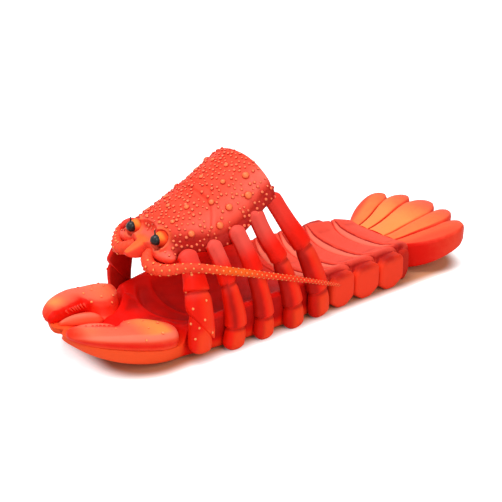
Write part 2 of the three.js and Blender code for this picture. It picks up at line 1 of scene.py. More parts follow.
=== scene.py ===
"""Dressed model of a lobster-shaped slide sandal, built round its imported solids.

The sandal is a moulded foam slide: the sole is the lobster's body, its claws lie on the toe,
the heel is the ringed abdomen, the tail fan stands out behind, and the arched carapace is the
upper, held by ten jointed strap legs. Shapes are worked out in millimetres, in the frame of the
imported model: the toe points to -Y, the tail to +Y, +X is the side next to the camera.
"""

from __future__ import annotations

import logging
from dataclasses import dataclass, field
from enum import Enum
from typing import Any, Sequence

import bpy
import numpy as np
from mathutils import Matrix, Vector

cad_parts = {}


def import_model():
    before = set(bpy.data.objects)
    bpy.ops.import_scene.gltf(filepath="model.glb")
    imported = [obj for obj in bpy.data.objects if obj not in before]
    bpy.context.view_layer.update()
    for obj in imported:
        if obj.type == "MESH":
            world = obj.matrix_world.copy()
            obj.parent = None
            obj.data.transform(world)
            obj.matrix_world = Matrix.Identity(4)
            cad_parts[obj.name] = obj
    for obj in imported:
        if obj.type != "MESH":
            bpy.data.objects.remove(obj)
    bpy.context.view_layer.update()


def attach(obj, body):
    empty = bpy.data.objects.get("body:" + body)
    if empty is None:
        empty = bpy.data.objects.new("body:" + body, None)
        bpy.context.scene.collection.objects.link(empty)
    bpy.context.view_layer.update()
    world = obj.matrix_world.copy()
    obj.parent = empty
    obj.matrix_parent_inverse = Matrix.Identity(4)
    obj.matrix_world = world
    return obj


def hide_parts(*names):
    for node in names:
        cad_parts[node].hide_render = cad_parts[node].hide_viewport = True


Array = np.ndarray
Colour = tuple[float, float, float]
MM = 0.001
LOG = logging.getLogger("slide")


class Side(Enum):
    """Side of the sandal, with the sign of its X."""

    LEFT = 1
    RIGHT = -1

    @property
    def word(self) -> str:
        """Side's word in the names of nodes and pieces."""
        return self.name.lower()

    @property
    def flip(self) -> Array:
        """Factors that carry a place from the left to this side."""
        return np.array([self.value, 1.0, 1.0])


class Seed(Enum):
    """Small shape that a Geometry Nodes tree repeats."""

    DOME = "dome"
    TOOTH = "tooth"
    BAR = "bar"


# Numbers and curves


def mix(a: Any, b: Any, t: Any) -> Any:
    """Value between a and b."""
    return a + (b - a) * t


def smooth(t: Any, low: float = 0.0, high: float = 1.0) -> Any:
    """Smooth step from 0 at low to 1 at high."""
    s = np.clip((np.asarray(t, float) - low) / (high - low), 0.0, 1.0)
    return s * s * (3 - 2 * s)


def hump(t: Any, centre: Any, width: float) -> Any:
    """Bell of height 1 round a centre."""
    return np.exp(-(((t - centre) / width) ** 2))


def power(value: Array, exponent: float) -> Array:
    """Power that keeps the sign."""
    return np.sign(value) * np.abs(value) ** exponent


def crowded(count: int) -> Array:
    """Numbers from 0 to 1 that crowd toward both ends."""
    return 0.5 - 0.5 * np.cos(np.pi * np.linspace(0, 1, count))


class Profile:
    """Smooth function through stations."""

    def __init__(self, *stations: tuple[float, float]) -> None:
        """Keeps the stations and their slopes.

        Args:
            stations: pairs of position and value, in order of position.
        """
        self.at = np.array([s[0] for s in stations], float)
        self.value = np.array([s[1] for s in stations], float)
        last = len(stations) - 1
        before = np.maximum(np.arange(last + 1) - 1, 0)
        after = np.minimum(np.arange(last + 1) + 1, last)
        self.slope = (self.value[after] - self.value[before]) / (self.at[after] - self.at[before])

    @classmethod
    def even(cls, *values: float) -> Profile:
        """Function from 0 to 1 through values at even steps."""
        return cls(*zip(np.linspace(0, 1, len(values)), values))

    def __call__(self, position: Any) -> Array:
        """Value at a position, or at each of an array of positions."""
        x = np.clip(np.asarray(position, float), self.at[0], self.at[-1])
        i = np.clip(np.searchsorted(self.at, x, side="right") - 1, 0, len(self.at) - 2)
        h = self.at[i + 1] - self.at[i]
        t = (x - self.at[i]) / h
        start = (2 * t**3 - 3 * t**2 + 1) * self.value[i] + (t**3 - 2 * t**2 + t) * h * self.slope[i]
        return start + (3 * t**2 - 2 * t**3) * self.value[i + 1] + (t**3 - t**2) * h * self.slope[i + 1]


class Spline:
    """Centripetal Catmull-Rom curve through knots."""

    def __init__(self, *knots: Sequence[float]) -> None:
        """Keeps the knots and a table of lengths.

        Args:
            knots: points of two or three numbers.
        """
        rows = np.array([[*k, 0.0][:3] for k in knots], float)
        self.knots = np.vstack([2 * rows[0] - rows[1], rows, 2 * rows[-1] - rows[-2]])
        self.spans = len(rows) - 1
        self.table = np.linspace(0, 1, 801)
        dense = self.at(self.table)
        steps = np.linalg.norm(np.diff(dense, axis=0), axis=1)
        self.lengths = np.concatenate([[0], np.cumsum(steps)])

    def at(self, t: Any) -> Array:
        """Points at parameters that count the knots evenly."""
        s = np.clip(np.atleast_1d(np.asarray(t, float)), 0, 1) * self.spans
        i = np.minimum(s.astype(int), self.spans - 1)
        w = (s - i)[:, None]
        p0, p1, p2, p3 = (self.knots[i + k] for k in range(4))
        d0, d1, d2 = (
            np.sqrt(np.maximum(np.linalg.norm(b - a, axis=1), 1e-6))[:, None]
            for a, b in ((p0, p1), (p1, p2), (p2, p3))
        )
        m1 = ((p1 - p0) / d0 - (p2 - p0) / (d0 + d1) + (p2 - p1) / d1) * d1
        m2 = ((p2 - p1) / d1 - (p3 - p1) / (d1 + d2) + (p3 - p2) / d2) * d1
        return p1 + m1 * w + (3 * (p2 - p1) - 2 * m1 - m2) * w**2 + (2 * (p1 - p2) + m1 + m2) * w**3

    def spaced(self, u: Any) -> Array:
        """Points at shares of the whole length."""
        return self.at(np.interp(np.atleast_1d(u) * self.lengths[-1], self.lengths, self.table))

    def tangent(self, u: Any) -> Array:
        """Unit directions at shares of the whole length."""
        u = np.atleast_1d(np.asarray(u, float))
        ahead = self.spaced(np.minimum(u + 2e-3, 1)) - self.spaced(np.maximum(u - 2e-3, 0))
        return unit(ahead)


def unit(vectors: Array) -> Array:
    """Vectors of length 1."""
    return vectors / np.maximum(np.linalg.norm(vectors, axis=-1, keepdims=True), 1e-9)


def rounded_line(controls: Array, per: int) -> Array:
    """Smooth line through control points that lie along the last axis but one.

    Args:
        controls: array of shape (sections, points, 2).
        per: samples in each span.

    Returns:
        Array of shape (sections, samples, 2).
    """
    padded = np.concatenate(
        [2 * controls[:, :1] - controls[:, 1:2], controls, 2 * controls[:, -1:] - controls[:, -2:-1]],
        axis=1,
    )
    spans = controls.shape[1] - 1
    s = np.linspace(0, spans, spans * per + 1)
    i = np.minimum(s.astype(int), spans - 1)
    w = (s - i)[None, :, None]
    p0, p1, p2, p3 = (padded[:, i + k] for k in range(4))
    m1, m2 = (p2 - p0) * 0.42, (p3 - p1) * 0.42
    return p1 + m1 * w + (3 * (p2 - p1) - 2 * m1 - m2) * w**2 + (2 * (p1 - p2) + m1 + m2) * w**3


# Meshes


@dataclass
class Form:
    """Closed mesh in millimetres, before it becomes an object."""

    points: Array
    quads: Array
    triangles: Array = field(default_factory=lambda: np.zeros((0, 3), int))

    @classmethod
    def rings(cls, rings: Array) -> Form:
        """Skin over closed rings, with a fan over each end.

        Args:
            rings: array of shape (rings, points in a ring, 3).
        """
        n, m, _ = rings.shape
        j = np.arange(m)
        k = (j + 1) % m
        row = np.arange(n - 1)[:, None] * m
        quads = np.stack([row + j, row + k, row + m + k, row + m + j], -1).reshape(-1, 4)
        hub = np.full(m, n * m)
        near = np.stack([hub, k, j], 1)
        far = np.stack([hub + 1, (n - 1) * m + j, (n - 1) * m + k], 1)
        points = np.vstack([rings.reshape(-1, 3), rings[0].mean(0), rings[-1].mean(0)])
        return cls(points, quads, np.vstack([near, far])).outward()

    @classmethod
    def sheets(cls, upper: Array, lower: Array) -> Form:
        """Solid between two sheets of points, with a wall round the border.

        Args:
            upper: array of shape (rows, columns, 3).
            lower: array of the same shape.
        """
        n, m, _ = upper.shape
        index = np.arange(n * m).reshape(n, m)
        a, b, c, d = index[:-1, :-1], index[:-1, 1:], index[1:, 1:], index[1:, :-1]
        top = np.stack([a, b, c, d], -1).reshape(-1, 4)
        border = np.concatenate([index[0, :-1], index[:-1, -1], index[-1, :0:-1], index[:0:-1, 0]])
        ahead = np.roll(border, -1)
        wall = np.stack([ahead, border, border + n * m, ahead + n * m], 1)
        quads = np.vstack([top, top[:, ::-1] + n * m, wall])
        return cls(np.vstack([upper.reshape(-1, 3), lower.reshape(-1, 3)]), quads).outward()

    @classmethod
    def together(cls, forms: Sequence[Form]) -> Form:
        """Several forms as one."""
        shift = np.cumsum([0] + [len(f.points) for f in forms])
        return cls(
            np.vstack([f.points for f in forms]),
            np.vstack([f.quads + s for f, s in zip(forms, shift)]),
            np.vstack([f.triangles + s for f, s in zip(forms, shift)]),
        )

    @classmethod
    def ball(cls, centre: Sequence[float], radii: Sequence[float], across: int = 32) -> Form:
        """Ellipsoid."""
        polar = np.linspace(0.02, np.pi - 0.02, across // 2 + 1)[:, None]
        turn = np.linspace(0, 2 * np.pi, across, endpoint=False)[None, :]
        rings = np.stack([
            np.sin(polar) * np.cos(turn), np.sin(polar) * np.sin(turn), np.cos(polar) + 0 * turn,
        ], -1)
        return cls.rings(rings * np.array(radii) + np.array(centre))

    @classmethod
    def of(cls, mesh: bpy.types.Mesh) -> Form:
        """Form of a Blender mesh of triangles and quads."""
        points = np.zeros(len(mesh.vertices) * 3)
        mesh.vertices.foreach_get("co", points)
        faces = [tuple(p.vertices) for p in mesh.polygons]
        quads = np.array([f for f in faces if len(f) == 4], int).reshape(-1, 4)
        triangles = np.array([f for f in faces if len(f) == 3], int).reshape(-1, 3)
        return cls(points.reshape(-1, 3) / MM, quads, triangles)

    def split(self) -> Array:
        """Faces as triangles."""
        return np.vstack([self.quads[:, [0, 1, 2]], self.quads[:, [0, 2, 3]], self.triangles])

    def outward(self) -> Form:
        """Form with its faces turned outward."""
        a, b, c = (self.points[self.split()[:, k]] for k in range(3))
        if np.einsum("ij,ij->i", a, np.cross(b, c)).sum() < 0:
            return Form(self.points, self.quads[:, ::-1], self.triangles[:, ::-1])
        return self

    def on(self, side: Side) -> Form:
        """Form as modelled on the left, or mirrored for the right."""
        if side is Side.LEFT:
            return self
        return Form(self.points * side.flip, self.quads[:, ::-1], self.triangles[:, ::-1])

    def normals(self) -> Array:
        """Unit normal at each vertex."""
        faces = self.split()
        a, b, c = (self.points[faces[:, k]] for k in range(3))
        across = np.cross(b - a, c - a)
        total = np.zeros_like(self.points)
        for k in range(3):
            for axis in range(3):
                total[:, axis] += np.bincount(faces[:, k], across[:, axis], len(self.points))
        return unit(total)

    def hollows(self, rounds: int, reach: float) -> Array:
        """How far each vertex lies in a hollow, from 0 to 1.

        Args:
            rounds: smoothing rounds that set the size of the hollows found.
            reach: depth in millimetres that counts as 1.

        Returns:
            One number for each vertex; ridges count as 0.
        """
        faces = self.split()
        pairs = np.vstack([faces[:, [0, 1]], faces[:, [1, 2]], faces[:, [2, 0]]])
        count = np.maximum(np.bincount(pairs[:, 0], minlength=len(self.points)), 1)
        soft = self.points.copy()
        for _ in range(rounds):
            for axis in range(3):
                total = np.bincount(pairs[:, 0], soft[pairs[:, 1], axis], len(self.points))
                soft[:, axis] = 0.4 * soft[:, axis] + 0.6 * total / count
        return np.clip(np.einsum("ij,ij->i", soft - self.points, self.normals()) / reach, 0, 1)

    def mesh(self, name: str) -> bpy.types.Mesh:
        """Blender mesh in metres."""
        data = bpy.data.meshes.new(name)
        data.from_pydata((self.points * MM).tolist(), [], self.quads.tolist() + self.triangles.tolist())
        data.validate()
        data.update()
        data.shade_smooth()
        return data


def draft(form: Form) -> bpy.types.Object:
    """Object of a form, to be shaped by modifiers."""
    made = bpy.data.objects.new("draft", form.mesh("draft"))
    bpy.context.scene.collection.objects.link(made)
    return made


def fused(
    forms: Sequence[Form], voxel: float, softening: int, cut: Sequence[Form] = (),
    added: Sequence[Form] = (),
) -> Form:
    """Forms joined into one skin.

    Args:
        forms: closed forms that overlap.
        voxel: edge of a voxel in millimetres.
        softening: rounds of smoothing after the join.
        cut: forms taken away from the joined ones.
        added: forms joined on after the cut.

    Returns:
        One closed form of small quads.
    """
    body = draft(Form.together(forms))
    helpers = []
    for step, part in enumerate([None, *cut, *added, None]):
        if part is None:
            if step == 0 and not (cut or added):
                continue
            remesh = body.modifiers.new("fuse", "REMESH")
            remesh.mode = "VOXEL"
            remesh.voxel_size = voxel * MM
            continue
        helpers.append(draft(part))
        change = body.modifiers.new("change", "BOOLEAN")
        change.operation = "DIFFERENCE" if step <= len(cut) else "UNION"
        change.solver = "MANIFOLD"
        change.object = helpers[-1]
    if softening:
        soften = body.modifiers.new("soften", "SMOOTH")
        soften.factor = 0.5
        soften.iterations = softening
    graph = bpy.context.evaluated_depsgraph_get()
    data = bpy.data.meshes.new_from_object(body.evaluated_get(graph), depsgraph=graph)
    form = Form.of(data)
    for used in (body, *helpers):
        spare = used.data
        bpy.data.objects.remove(used)
        bpy.data.meshes.remove(spare)
    bpy.data.meshes.remove(data)
    return form.outward()


# Shader maths


class Wire:
    """Shader socket that takes part in Python expressions."""

    def __init__(self, net: Net, socket: bpy.types.NodeSocket) -> None:
        """Keeps a socket and the net that owns it."""
        self.net = net
        self.socket = socket

    def _maths(self, operation: str, *values: Any) -> Wire:
        """Math node over this socket and other values."""
        node = self.net.node("ShaderNodeMath", {"operation": operation}, dict(enumerate(values)))
        return Wire(self.net, node.outputs[0])

    def __add__(self, other: Any) -> Wire:
        """Sum."""
        return self._maths("ADD", self, other)

    __radd__ = __add__

    def __sub__(self, other: Any) -> Wire:
        """Difference."""
        return self._maths("SUBTRACT", self, other)

    def __rsub__(self, other: Any) -> Wire:
        """Difference from a number."""
        return self._maths("SUBTRACT", other, self)

    def __mul__(self, other: Any) -> Wire:
        """Product."""
        return self._maths("MULTIPLY", self, other)

    __rmul__ = __mul__

    def __abs__(self) -> Wire:
        """Size without sign."""
        return self._maths("ABSOLUTE", self)

    def root(self) -> Wire:
        """Square root."""
        return self._maths("SQRT", self)

    def held(self, low: float = 0.0, high: float = 1.0) -> Wire:
        """Value held between two limits."""
        return self._maths("MINIMUM", self._maths("MAXIMUM", self, low), high)

    def step(self, low: float, high: float) -> Wire:
        """Smooth step from 0 at low to 1 at high."""
        node = self.net.node(
            "ShaderNodeMapRange",
            {"interpolation_type": "SMOOTHSTEP"},
            {"Value": self, "From Min": low, "From Max": high},
        )
        return Wire(self.net, node.outputs["Result"])


class Net:
    """Writes the node tree of one material."""

    def __init__(self, name: str) -> None:
        """Makes the material and its shader.

        Args:
            name: name of the material.
        """
        self.material = bpy.data.materials.new(name)
        self.material.use_nodes = True
        self.tree = self.material.node_tree
        self.tree.nodes.clear()
        self.shader = self.node("ShaderNodeBsdfPrincipled")
        output = self.node("ShaderNodeOutputMaterial")
        self.tree.links.new(self.shader.outputs[0], output.inputs["Surface"])

    def node(self, kind: str, settings: dict | None = None, values: dict | None = None) -> bpy.types.Node:
        """New node.

        Args:
            kind: type of the node.
            settings: properties of the node, set first.
            values: numbers or wires for its sockets, by name or number.
        """
        made = self.tree.nodes.new(kind)
        for key, value in (settings or {}).items():
            setattr(made, key, value)
        for key, value in (values or {}).items():
            self.put(made.inputs[key], value)
        return made

    def put(self, socket: bpy.types.NodeSocket, value: Any) -> None:
        """Links a wire to a socket, or sets its number or colour."""
        if isinstance(value, Wire):
            self.tree.links.new(value.socket, socket)
        elif isinstance(value, bpy.types.NodeSocket):
            self.tree.links.new(value, socket)
        elif isinstance(value, tuple) and len(value) == 3 and socket.type == "RGBA":
            socket.default_value = (*value, 1.0)
        else:
            socket.default_value = value

    def place(self) -> bpy.types.NodeSocket:
        """Object coordinates, in metres."""
        return self.node("ShaderNodeTexCoord").outputs["Object"]

    def noise(self, place: bpy.types.NodeSocket, scale: float, detail: float = 2.0) -> Wire:
        """Noise about 0.5, with a scale for each metre."""
        values = {"Vector": place, "Scale": scale, "Detail": detail, "Roughness": 0.55}
        return Wire(self, self.node("ShaderNodeTexNoise", {}, values).outputs[0])

    def mask(self, name: str) -> Wire:
        """Painted mask of the piece."""
        node = self.node("ShaderNodeAttribute", {"attribute_name": name})
        return Wire(self, node.outputs["Fac"])

    def blend(self, a: Any, b: Any, factor: Any) -> Wire:
        """Colour between two colours."""
        node = self.node("ShaderNodeMix", {"data_type": "RGBA"})
        self.put(node.inputs[0], factor)
        self.put(node.inputs[6], a)
        self.put(node.inputs[7], b)
        return Wire(self, node.outputs[2])

    def relief(self, height: Wire, strength: float, distance: float) -> None:
        """Bump of the surface, with its distance in metres."""
        values = {"Height": height, "Strength": strength, "Distance": distance}
        bump = self.node("ShaderNodeBump", {}, values)
        self.tree.links.new(bump.outputs[0], self.shader.inputs["Normal"])

    def finish(self, **values: Any) -> bpy.types.Material:
        """Sets the shader's own sockets and gives the material."""
        names = {
            "base": "Base Color", "roughness": "Roughness", "gloss": "Specular IOR Level",
            "coat": "Coat Weight", "coat_roughness": "Coat Roughness",
        }
        for key, value in values.items():
            self.put(self.shader.inputs[names[key]], value)
        return self.material


# Finishes


class Paint(Enum):
    """Painted colours and their masks: orange paint, deep red paint with painted shade, a tint with painted
    highlights.
    """

    WARM = "warm"
    # deep red paint, and painted shade in hollows, gaps, undersides and faces turned from the light
    DEEP = "deep"
    # second tint, and painted highlights on faces toward the lamps
    DUST = "dust"


@dataclass(frozen=True)
class Finish:
    """Finish of a surface, whose material is made once."""

    name: str

    def material(self) -> bpy.types.Material:
        """Material of this finish."""
        return bpy.data.materials.get(self.name) or self.write(Net(self.name))


@dataclass(frozen=True)
class SoftFoam(Finish):
    """Moulded foam with a satin skin in four colours: airbrushed paint, with painted shade and painted
    highlights.

    The warm colour is orange paint, the deep colour is deep red paint and painted shade, and the
    tint is a second tone and painted highlights. They lie over the base where the piece's masks say,
    with the soft, speckled edge of an airbrush.
    """

    base: Colour
    warm: Colour
    # deep red paint, also used as painted shade
    deep: Colour
    # second tint, also used as painted highlight
    dust: Colour
    roughness: float = 0.46
    pebble: float = 0.35

    def write(self, net: Net) -> bpy.types.Material:
        """Writes the finish into a net."""
        place = net.place()
        cloud = net.noise(place, 38.0, 3.0) - 0.5
        mottle = net.noise(place, 210.0, 3.0) - 0.5
        spray = net.noise(place, 1900.0, 1.0) - 0.5
        wander = cloud * 0.5 + mottle * 0.22 + spray * 0.3
        colour: Any = self.base
        # tint with painted highlights, orange paint, then deep red with painted shade, each where its mask
        # says
        for paint, tint in ((Paint.DUST, self.dust), (Paint.WARM, self.warm), (Paint.DEEP, self.deep)):
            amount = net.mask(paint.value)
            edge = (amount * (1 - amount) * 4).held()
            colour = net.blend(colour, tint, (amount + wander * edge).held())
        tone = (cloud * 0.5 + mottle * 0.3).held(-1, 1)
        colour = net.blend(colour, self.deep, (tone * 0.5).held(0, 0.12))
        colour = net.blend(colour, self.dust, (tone * -0.6).held(0, 0.09))
        skin = net.noise(place, 900.0, 2.0)
        grain = net.noise(place, 3600.0, 1.0)
        net.relief(skin * self.pebble + grain * 0.65, 0.35, 0.00016)
        rough = self.roughness + cloud * 0.16 + spray * 0.1
        return net.finish(base=colour, roughness=rough.held(0.25, 0.8), gloss=0.09)


@dataclass(frozen=True)
class StudPaint(Finish):
    """Small raised studs, darker at the foot as painted shade and lighter toward the top as paint and
    painted highlight.
    """

    foot: Colour
    top: Colour
    low: float = 0.15
    high: float = 0.75

    def write(self, net: Net) -> bpy.types.Material:
        """Writes the finish into a net."""
        place = net.place()
        spray = net.noise(place, 1500.0, 2.0) - 0.5
        patch = net.noise(place, 60.0, 2.0) - 0.5
        # painted shade at the foot, paint and painted highlight toward the top, by each stud's height
        amount = (net.mask("height") + spray * 0.35 + patch * 0.5).step(self.low, self.high)
        colour = net.blend(self.foot, self.top, amount)
        net.relief(net.noise(place, 2600.0, 1.0), 0.25, 0.0001)
        return net.finish(base=colour, roughness=(0.34 + patch * 0.2).held(0.2, 0.7), gloss=0.3)


@dataclass(frozen=True)
class EyeGloss(Finish):
    """Shiny black bead with the fine pits of its mould."""

    name: str = "eye_bead"

    def write(self, net: Net) -> bpy.types.Material:
        """Writes the finish into a net."""
        place = net.place()
        pits = net.noise(place, 1300.0, 2.0)
        colour = net.blend((0.006, 0.006, 0.007), (0.03, 0.026, 0.026), pits.step(0.45, 0.65))
        net.relief(pits, 0.5, 0.00025)
        rough = (0.28 + (net.noise(place, 500.0, 2.0) - 0.5) * 0.2).held(0.1, 0.5)
        return net.finish(base=colour, roughness=rough, gloss=0.25, coat=0.12, coat_roughness=0.1)


# Each foam gives base, warm, deep and tint colours; deep also serves as painted shade, tint as painted
# highlight.
SHELL = SoftFoam(
    "carapace_foam", (0.96, 0.062, 0.028), (0.96, 0.17, 0.028), (0.36, 0.002, 0.001), (0.96, 0.18, 0.13),
)
LEG = SoftFoam(
    "leg_foam", (0.93, 0.010, 0.001), (0.97, 0.052, 0.009), (0.36, 0.005, 0.002), (0.86, 0.090, 0.065),
)
CLAW = SoftFoam(
    "claw_foam", (0.96, 0.075, 0.026), (0.97, 0.30, 0.060), (0.84, 0.007, 0.001), (0.97, 0.19, 0.11),
)
FEELER = SoftFoam(
    "feeler_foam", (0.94, 0.040, 0.008), (0.96, 0.19, 0.012), (0.62, 0.006, 0.001), (0.96, 0.14, 0.07),
)
FOOTBED = SoftFoam(
    "footbed_foam", (0.92, 0.005, 0.001), (0.98, 0.095, 0.020), (0.42, 0.004, 0.002), (0.93, 0.060, 0.030),
    roughness=0.52,
)
ABDOMEN = SoftFoam(
    "abdomen_foam", (0.93, 0.080, 0.046), (0.96, 0.190, 0.120), (0.42, 0.008, 0.005), (0.94, 0.048, 0.014),
    roughness=0.52,
)
FAN = SoftFoam(
    "fan_foam", (0.97, 0.085, 0.035), (0.98, 0.33, 0.085), (0.78, 0.006, 0.001), (0.97, 0.12, 0.065),
)
STALK = SoftFoam(
    "stalk_foam", (0.94, 0.055, 0.012), (0.97, 0.23, 0.03), (0.45, 0.006, 0.001), (0.95, 0.22, 0.06),
)
# Stud feet are darker as painted shade where the studs meet the skin; tops lighter as paint and painted
# highlight.
SHELL_STUDS = StudPaint("carapace_studs", (0.55, 0.008, 0.004), (0.97, 0.19, 0.075), 0.35, 0.9)
SHELL_KNOBS = StudPaint("carapace_knobs", (0.62, 0.012, 0.005), (0.97, 0.18, 0.050), 0.2, 0.8)
CLAW_STUDS = StudPaint("claw_studs", (0.76, 0.03, 0.008), (0.97, 0.33, 0.10), 0.25, 0.85)
TEETH = StudPaint("claw_teeth", (0.86, 0.016, 0.005), (0.95, 0.07, 0.03), -0.3, 0.9)
FEELER_STUDS = StudPaint("feeler_studs", (0.62, 0.012, 0.003), (0.97, 0.34, 0.09), 0.35, 0.9)
EYE = EyeGloss()


# Pieces


def dress(name: str, data: bpy.types.Mesh, nodes: Sequence[str] = ()) -> None:
    """Object of a finished mesh, riding on the model.

    Args:
        name: name of the piece.
        data: mesh in metres, in place, with its material.
        nodes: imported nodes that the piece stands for.
    """
    piece = bpy.data.objects.new(name, data)
    bpy.context.scene.collection.objects.link(piece)
    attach(piece, "root")
    if nodes:
        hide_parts(*nodes)
    LOG.info("%s: %d faces", name, len(data.polygons))


def store(data: bpy.types.Mesh, name: str, values: Array) -> None:
    """Writes one number for each vertex of a mesh as a named attribute."""
    layer = data.attributes.new(name, "FLOAT", "POINT")
    layer.data.foreach_set("value", np.asarray(values, np.float32))


def painted(
    form: Form, name: str, finish: Finish, masks: dict[Paint, Array] | None = None,
) -> bpy.types.Mesh:
    """Blender mesh of a form with its finish and masks.

    Args:
        form: closed form.
        name: name of the mesh.
        finish: finish of its skin.
        masks: amount of each paint at each vertex.

    Returns:
        Mesh in metres.
    """
    data = form.mesh(name)
    for paint in Paint:
        amount = np.clip((masks or {}).get(paint, 0.0), 0, 1)
        store(data, paint.value, np.broadcast_to(amount, len(form.points)))
    data.materials.append(finish.material())
    return data


class GeometryNet:
    """Writes one Geometry Nodes tree and runs it on meshes."""

    def __init__(self, name: str) -> None:
        """Makes an empty tree with a geometry input and output.

        Args:
            name: name of the tree.
        """
        self.tree = bpy.data.node_groups.new(name, "GeometryNodeTree")
        self.tree.interface.new_socket("Geometry", in_out="INPUT", socket_type="NodeSocketGeometry")
        self.tree.interface.new_socket("Geometry", in_out="OUTPUT", socket_type="NodeSocketGeometry")
        self.source = self.tree.nodes.new("NodeGroupInput")
        self.result = self.tree.nodes.new("NodeGroupOutput")
        self.keys: dict[str, str] = {}

    def option(self, name: str, kind: str, default: Any = None) -> bpy.types.NodeSocket:
        """Named input of the tree.

        Args:
            name: name of the input.
            kind: Float, Int or Material.
            default: value where the modifier gives none.

        Returns:
            Socket that carries the value in the tree.
        """
        item = self.tree.interface.new_socket(name, in_out="INPUT", socket_type=f"NodeSocket{kind}")
        if default is not None:
            item.default_value = default
        self.keys[name] = item.identifier
        return self.source.outputs[name]

    def node(self, kind: str, settings: dict | None = None, values: dict | None = None) -> bpy.types.Node:
        """New node with its settings, then the values or links of its sockets by name."""
        made = self.tree.nodes.new(kind)
        for key, value in (settings or {}).items():
            setattr(made, key, value)
        for key, value in (values or {}).items():
            socket = next(s for s in made.inputs if s.enabled and s.name == key)
            if isinstance(value, bpy.types.NodeSocket):
                self.tree.links.new(value, socket)
            else:
                socket.default_value = value
        return made

    def attribute(self, name: str, kind: str = "FLOAT") -> bpy.types.NodeSocket:
        """Named attribute of the geometry."""
        node = self.node("GeometryNodeInputNamedAttribute", {"data_type": kind}, {"Name": name})
        return node.outputs["Attribute"]

    def maths(self, operation: str, *values: Any) -> bpy.types.NodeSocket:
        """Math node over numbers and sockets."""
        made = self.tree.nodes.new("ShaderNodeMath")
        made.operation = operation
        for socket, value in zip(made.inputs, values):
            if isinstance(value, bpy.types.NodeSocket):
                self.tree.links.new(value, socket)
            else:
                socket.default_value = value
        return made.outputs[0]

    def seed_shape(self, seed: Seed) -> bpy.types.NodeSocket:
        """Small shape of unit size, whose points know their height.

        Args:
            seed: which shape.

        Returns:
            Geometry socket of the shape.
        """
        if seed is Seed.DOME:
            shape = self.node("GeometryNodeMeshUVSphere", {}, {"Segments": 10, "Rings": 6, "Radius": 1.0})
        elif seed is Seed.TOOTH:
            values = {
                "Vertices": 8, "Side Segments": 3, "Radius Top": 0.18, "Radius Bottom": 1.0, "Depth": 2.0,
            }
            shape = self.node("GeometryNodeMeshCone", {}, values)
        else:
            cube = self.node("GeometryNodeMeshCube", {}, {"Size": (2.0, 2.0, 2.0), "Vertices X": 6})
            shape = self.node(
                "GeometryNodeSubdivisionSurface", {}, {"Mesh": cube.outputs["Mesh"], "Level": 1},
            )
        place = self.node("GeometryNodeInputPosition")
        apart = self.node("ShaderNodeSeparateXYZ", {}, {"Vector": place.outputs[0]})
        stored = self.node(
            "GeometryNodeStoreNamedAttribute",
            {"data_type": "FLOAT", "domain": "POINT"},
            {"Geometry": shape.outputs["Mesh"], "Name": "height", "Value": apart.outputs["Z"]},
        )
        return stored.outputs["Geometry"]

    def close(self, geometry: bpy.types.NodeSocket, material: bpy.types.NodeSocket) -> None:
        """Ends the tree: real geometry, smooth, with its material."""
        real = self.node("GeometryNodeRealizeInstances", {}, {"Geometry": geometry})
        even = self.node("GeometryNodeSetShadeSmooth", {}, {"Geometry": real.outputs[0]})
        last = self.node(
            "GeometryNodeSetMaterial", {}, {"Geometry": even.outputs[0], "Material": material},
        )
        self.tree.links.new(last.outputs[0], self.result.inputs[0])

    def run(self, data: bpy.types.Mesh, name: str, **values: Any) -> bpy.types.Mesh:
        """Runs the tree on a mesh.

        Args:
            data: mesh that the tree reads.
            name: name of the new mesh.
            values: values of the named inputs, with _ for a space.

        Returns:
            Plain mesh of the result.
        """
        draft = bpy.data.objects.new("draft", data)
        bpy.context.scene.collection.objects.link(draft)
        modifier = draft.modifiers.new("grow", "NODES")
        modifier.node_group = self.tree
        for key, value in values.items():
            modifier[self.keys[key.replace("_", " ")]] = value
        graph = bpy.context.evaluated_depsgraph_get()
        made = bpy.data.meshes.new_from_object(draft.evaluated_get(graph), depsgraph=graph)
        made.name = name
        bpy.data.objects.remove(draft)
        return made


class StudScatter(GeometryNet):
    """Studs scattered over a surface, as thickly as its attribute studs says."""

    def __init__(self) -> None:
        """Writes the tree."""
        super().__init__("stud_scatter")
        spacing = self.option("Spacing", "Float", 0.0045)
        density = self.option("Density", "Float", 60000.0)
        smallest = self.option("Smallest", "Float", 0.0008)
        largest = self.option("Largest", "Float", 0.0012)
        rise = self.option("Rise", "Float", 0.75)
        seed = self.option("Seed", "Int", 3)
        material = self.option("Material", "Material")
        spots = self.node(
            "GeometryNodeDistributePointsOnFaces",
            {"distribute_method": "POISSON"},
            {
                "Mesh": self.source.outputs["Geometry"], "Distance Min": spacing,
                "Density Max": density, "Density Factor": self.attribute("studs"), "Seed": seed,
            },
        )
        size = self.node(
            "FunctionNodeRandomValue", {"data_type": "FLOAT"},
            {"Min": smallest, "Max": largest, "Seed": seed},
        )
        girth = next(s for s in size.outputs if s.enabled)
        tall = self.node(
            "ShaderNodeCombineXYZ", {}, {"X": girth, "Y": girth, "Z": self.maths("MULTIPLY", girth, rise)},
        )
        placed = self.node(
            "GeometryNodeInstanceOnPoints", {},
            {
                "Points": spots.outputs["Points"], "Instance": self.seed_shape(Seed.DOME),
                "Rotation": spots.outputs["Rotation"], "Scale": tall.outputs[0],
            },
        )
        self.close(placed.outputs[0], material)


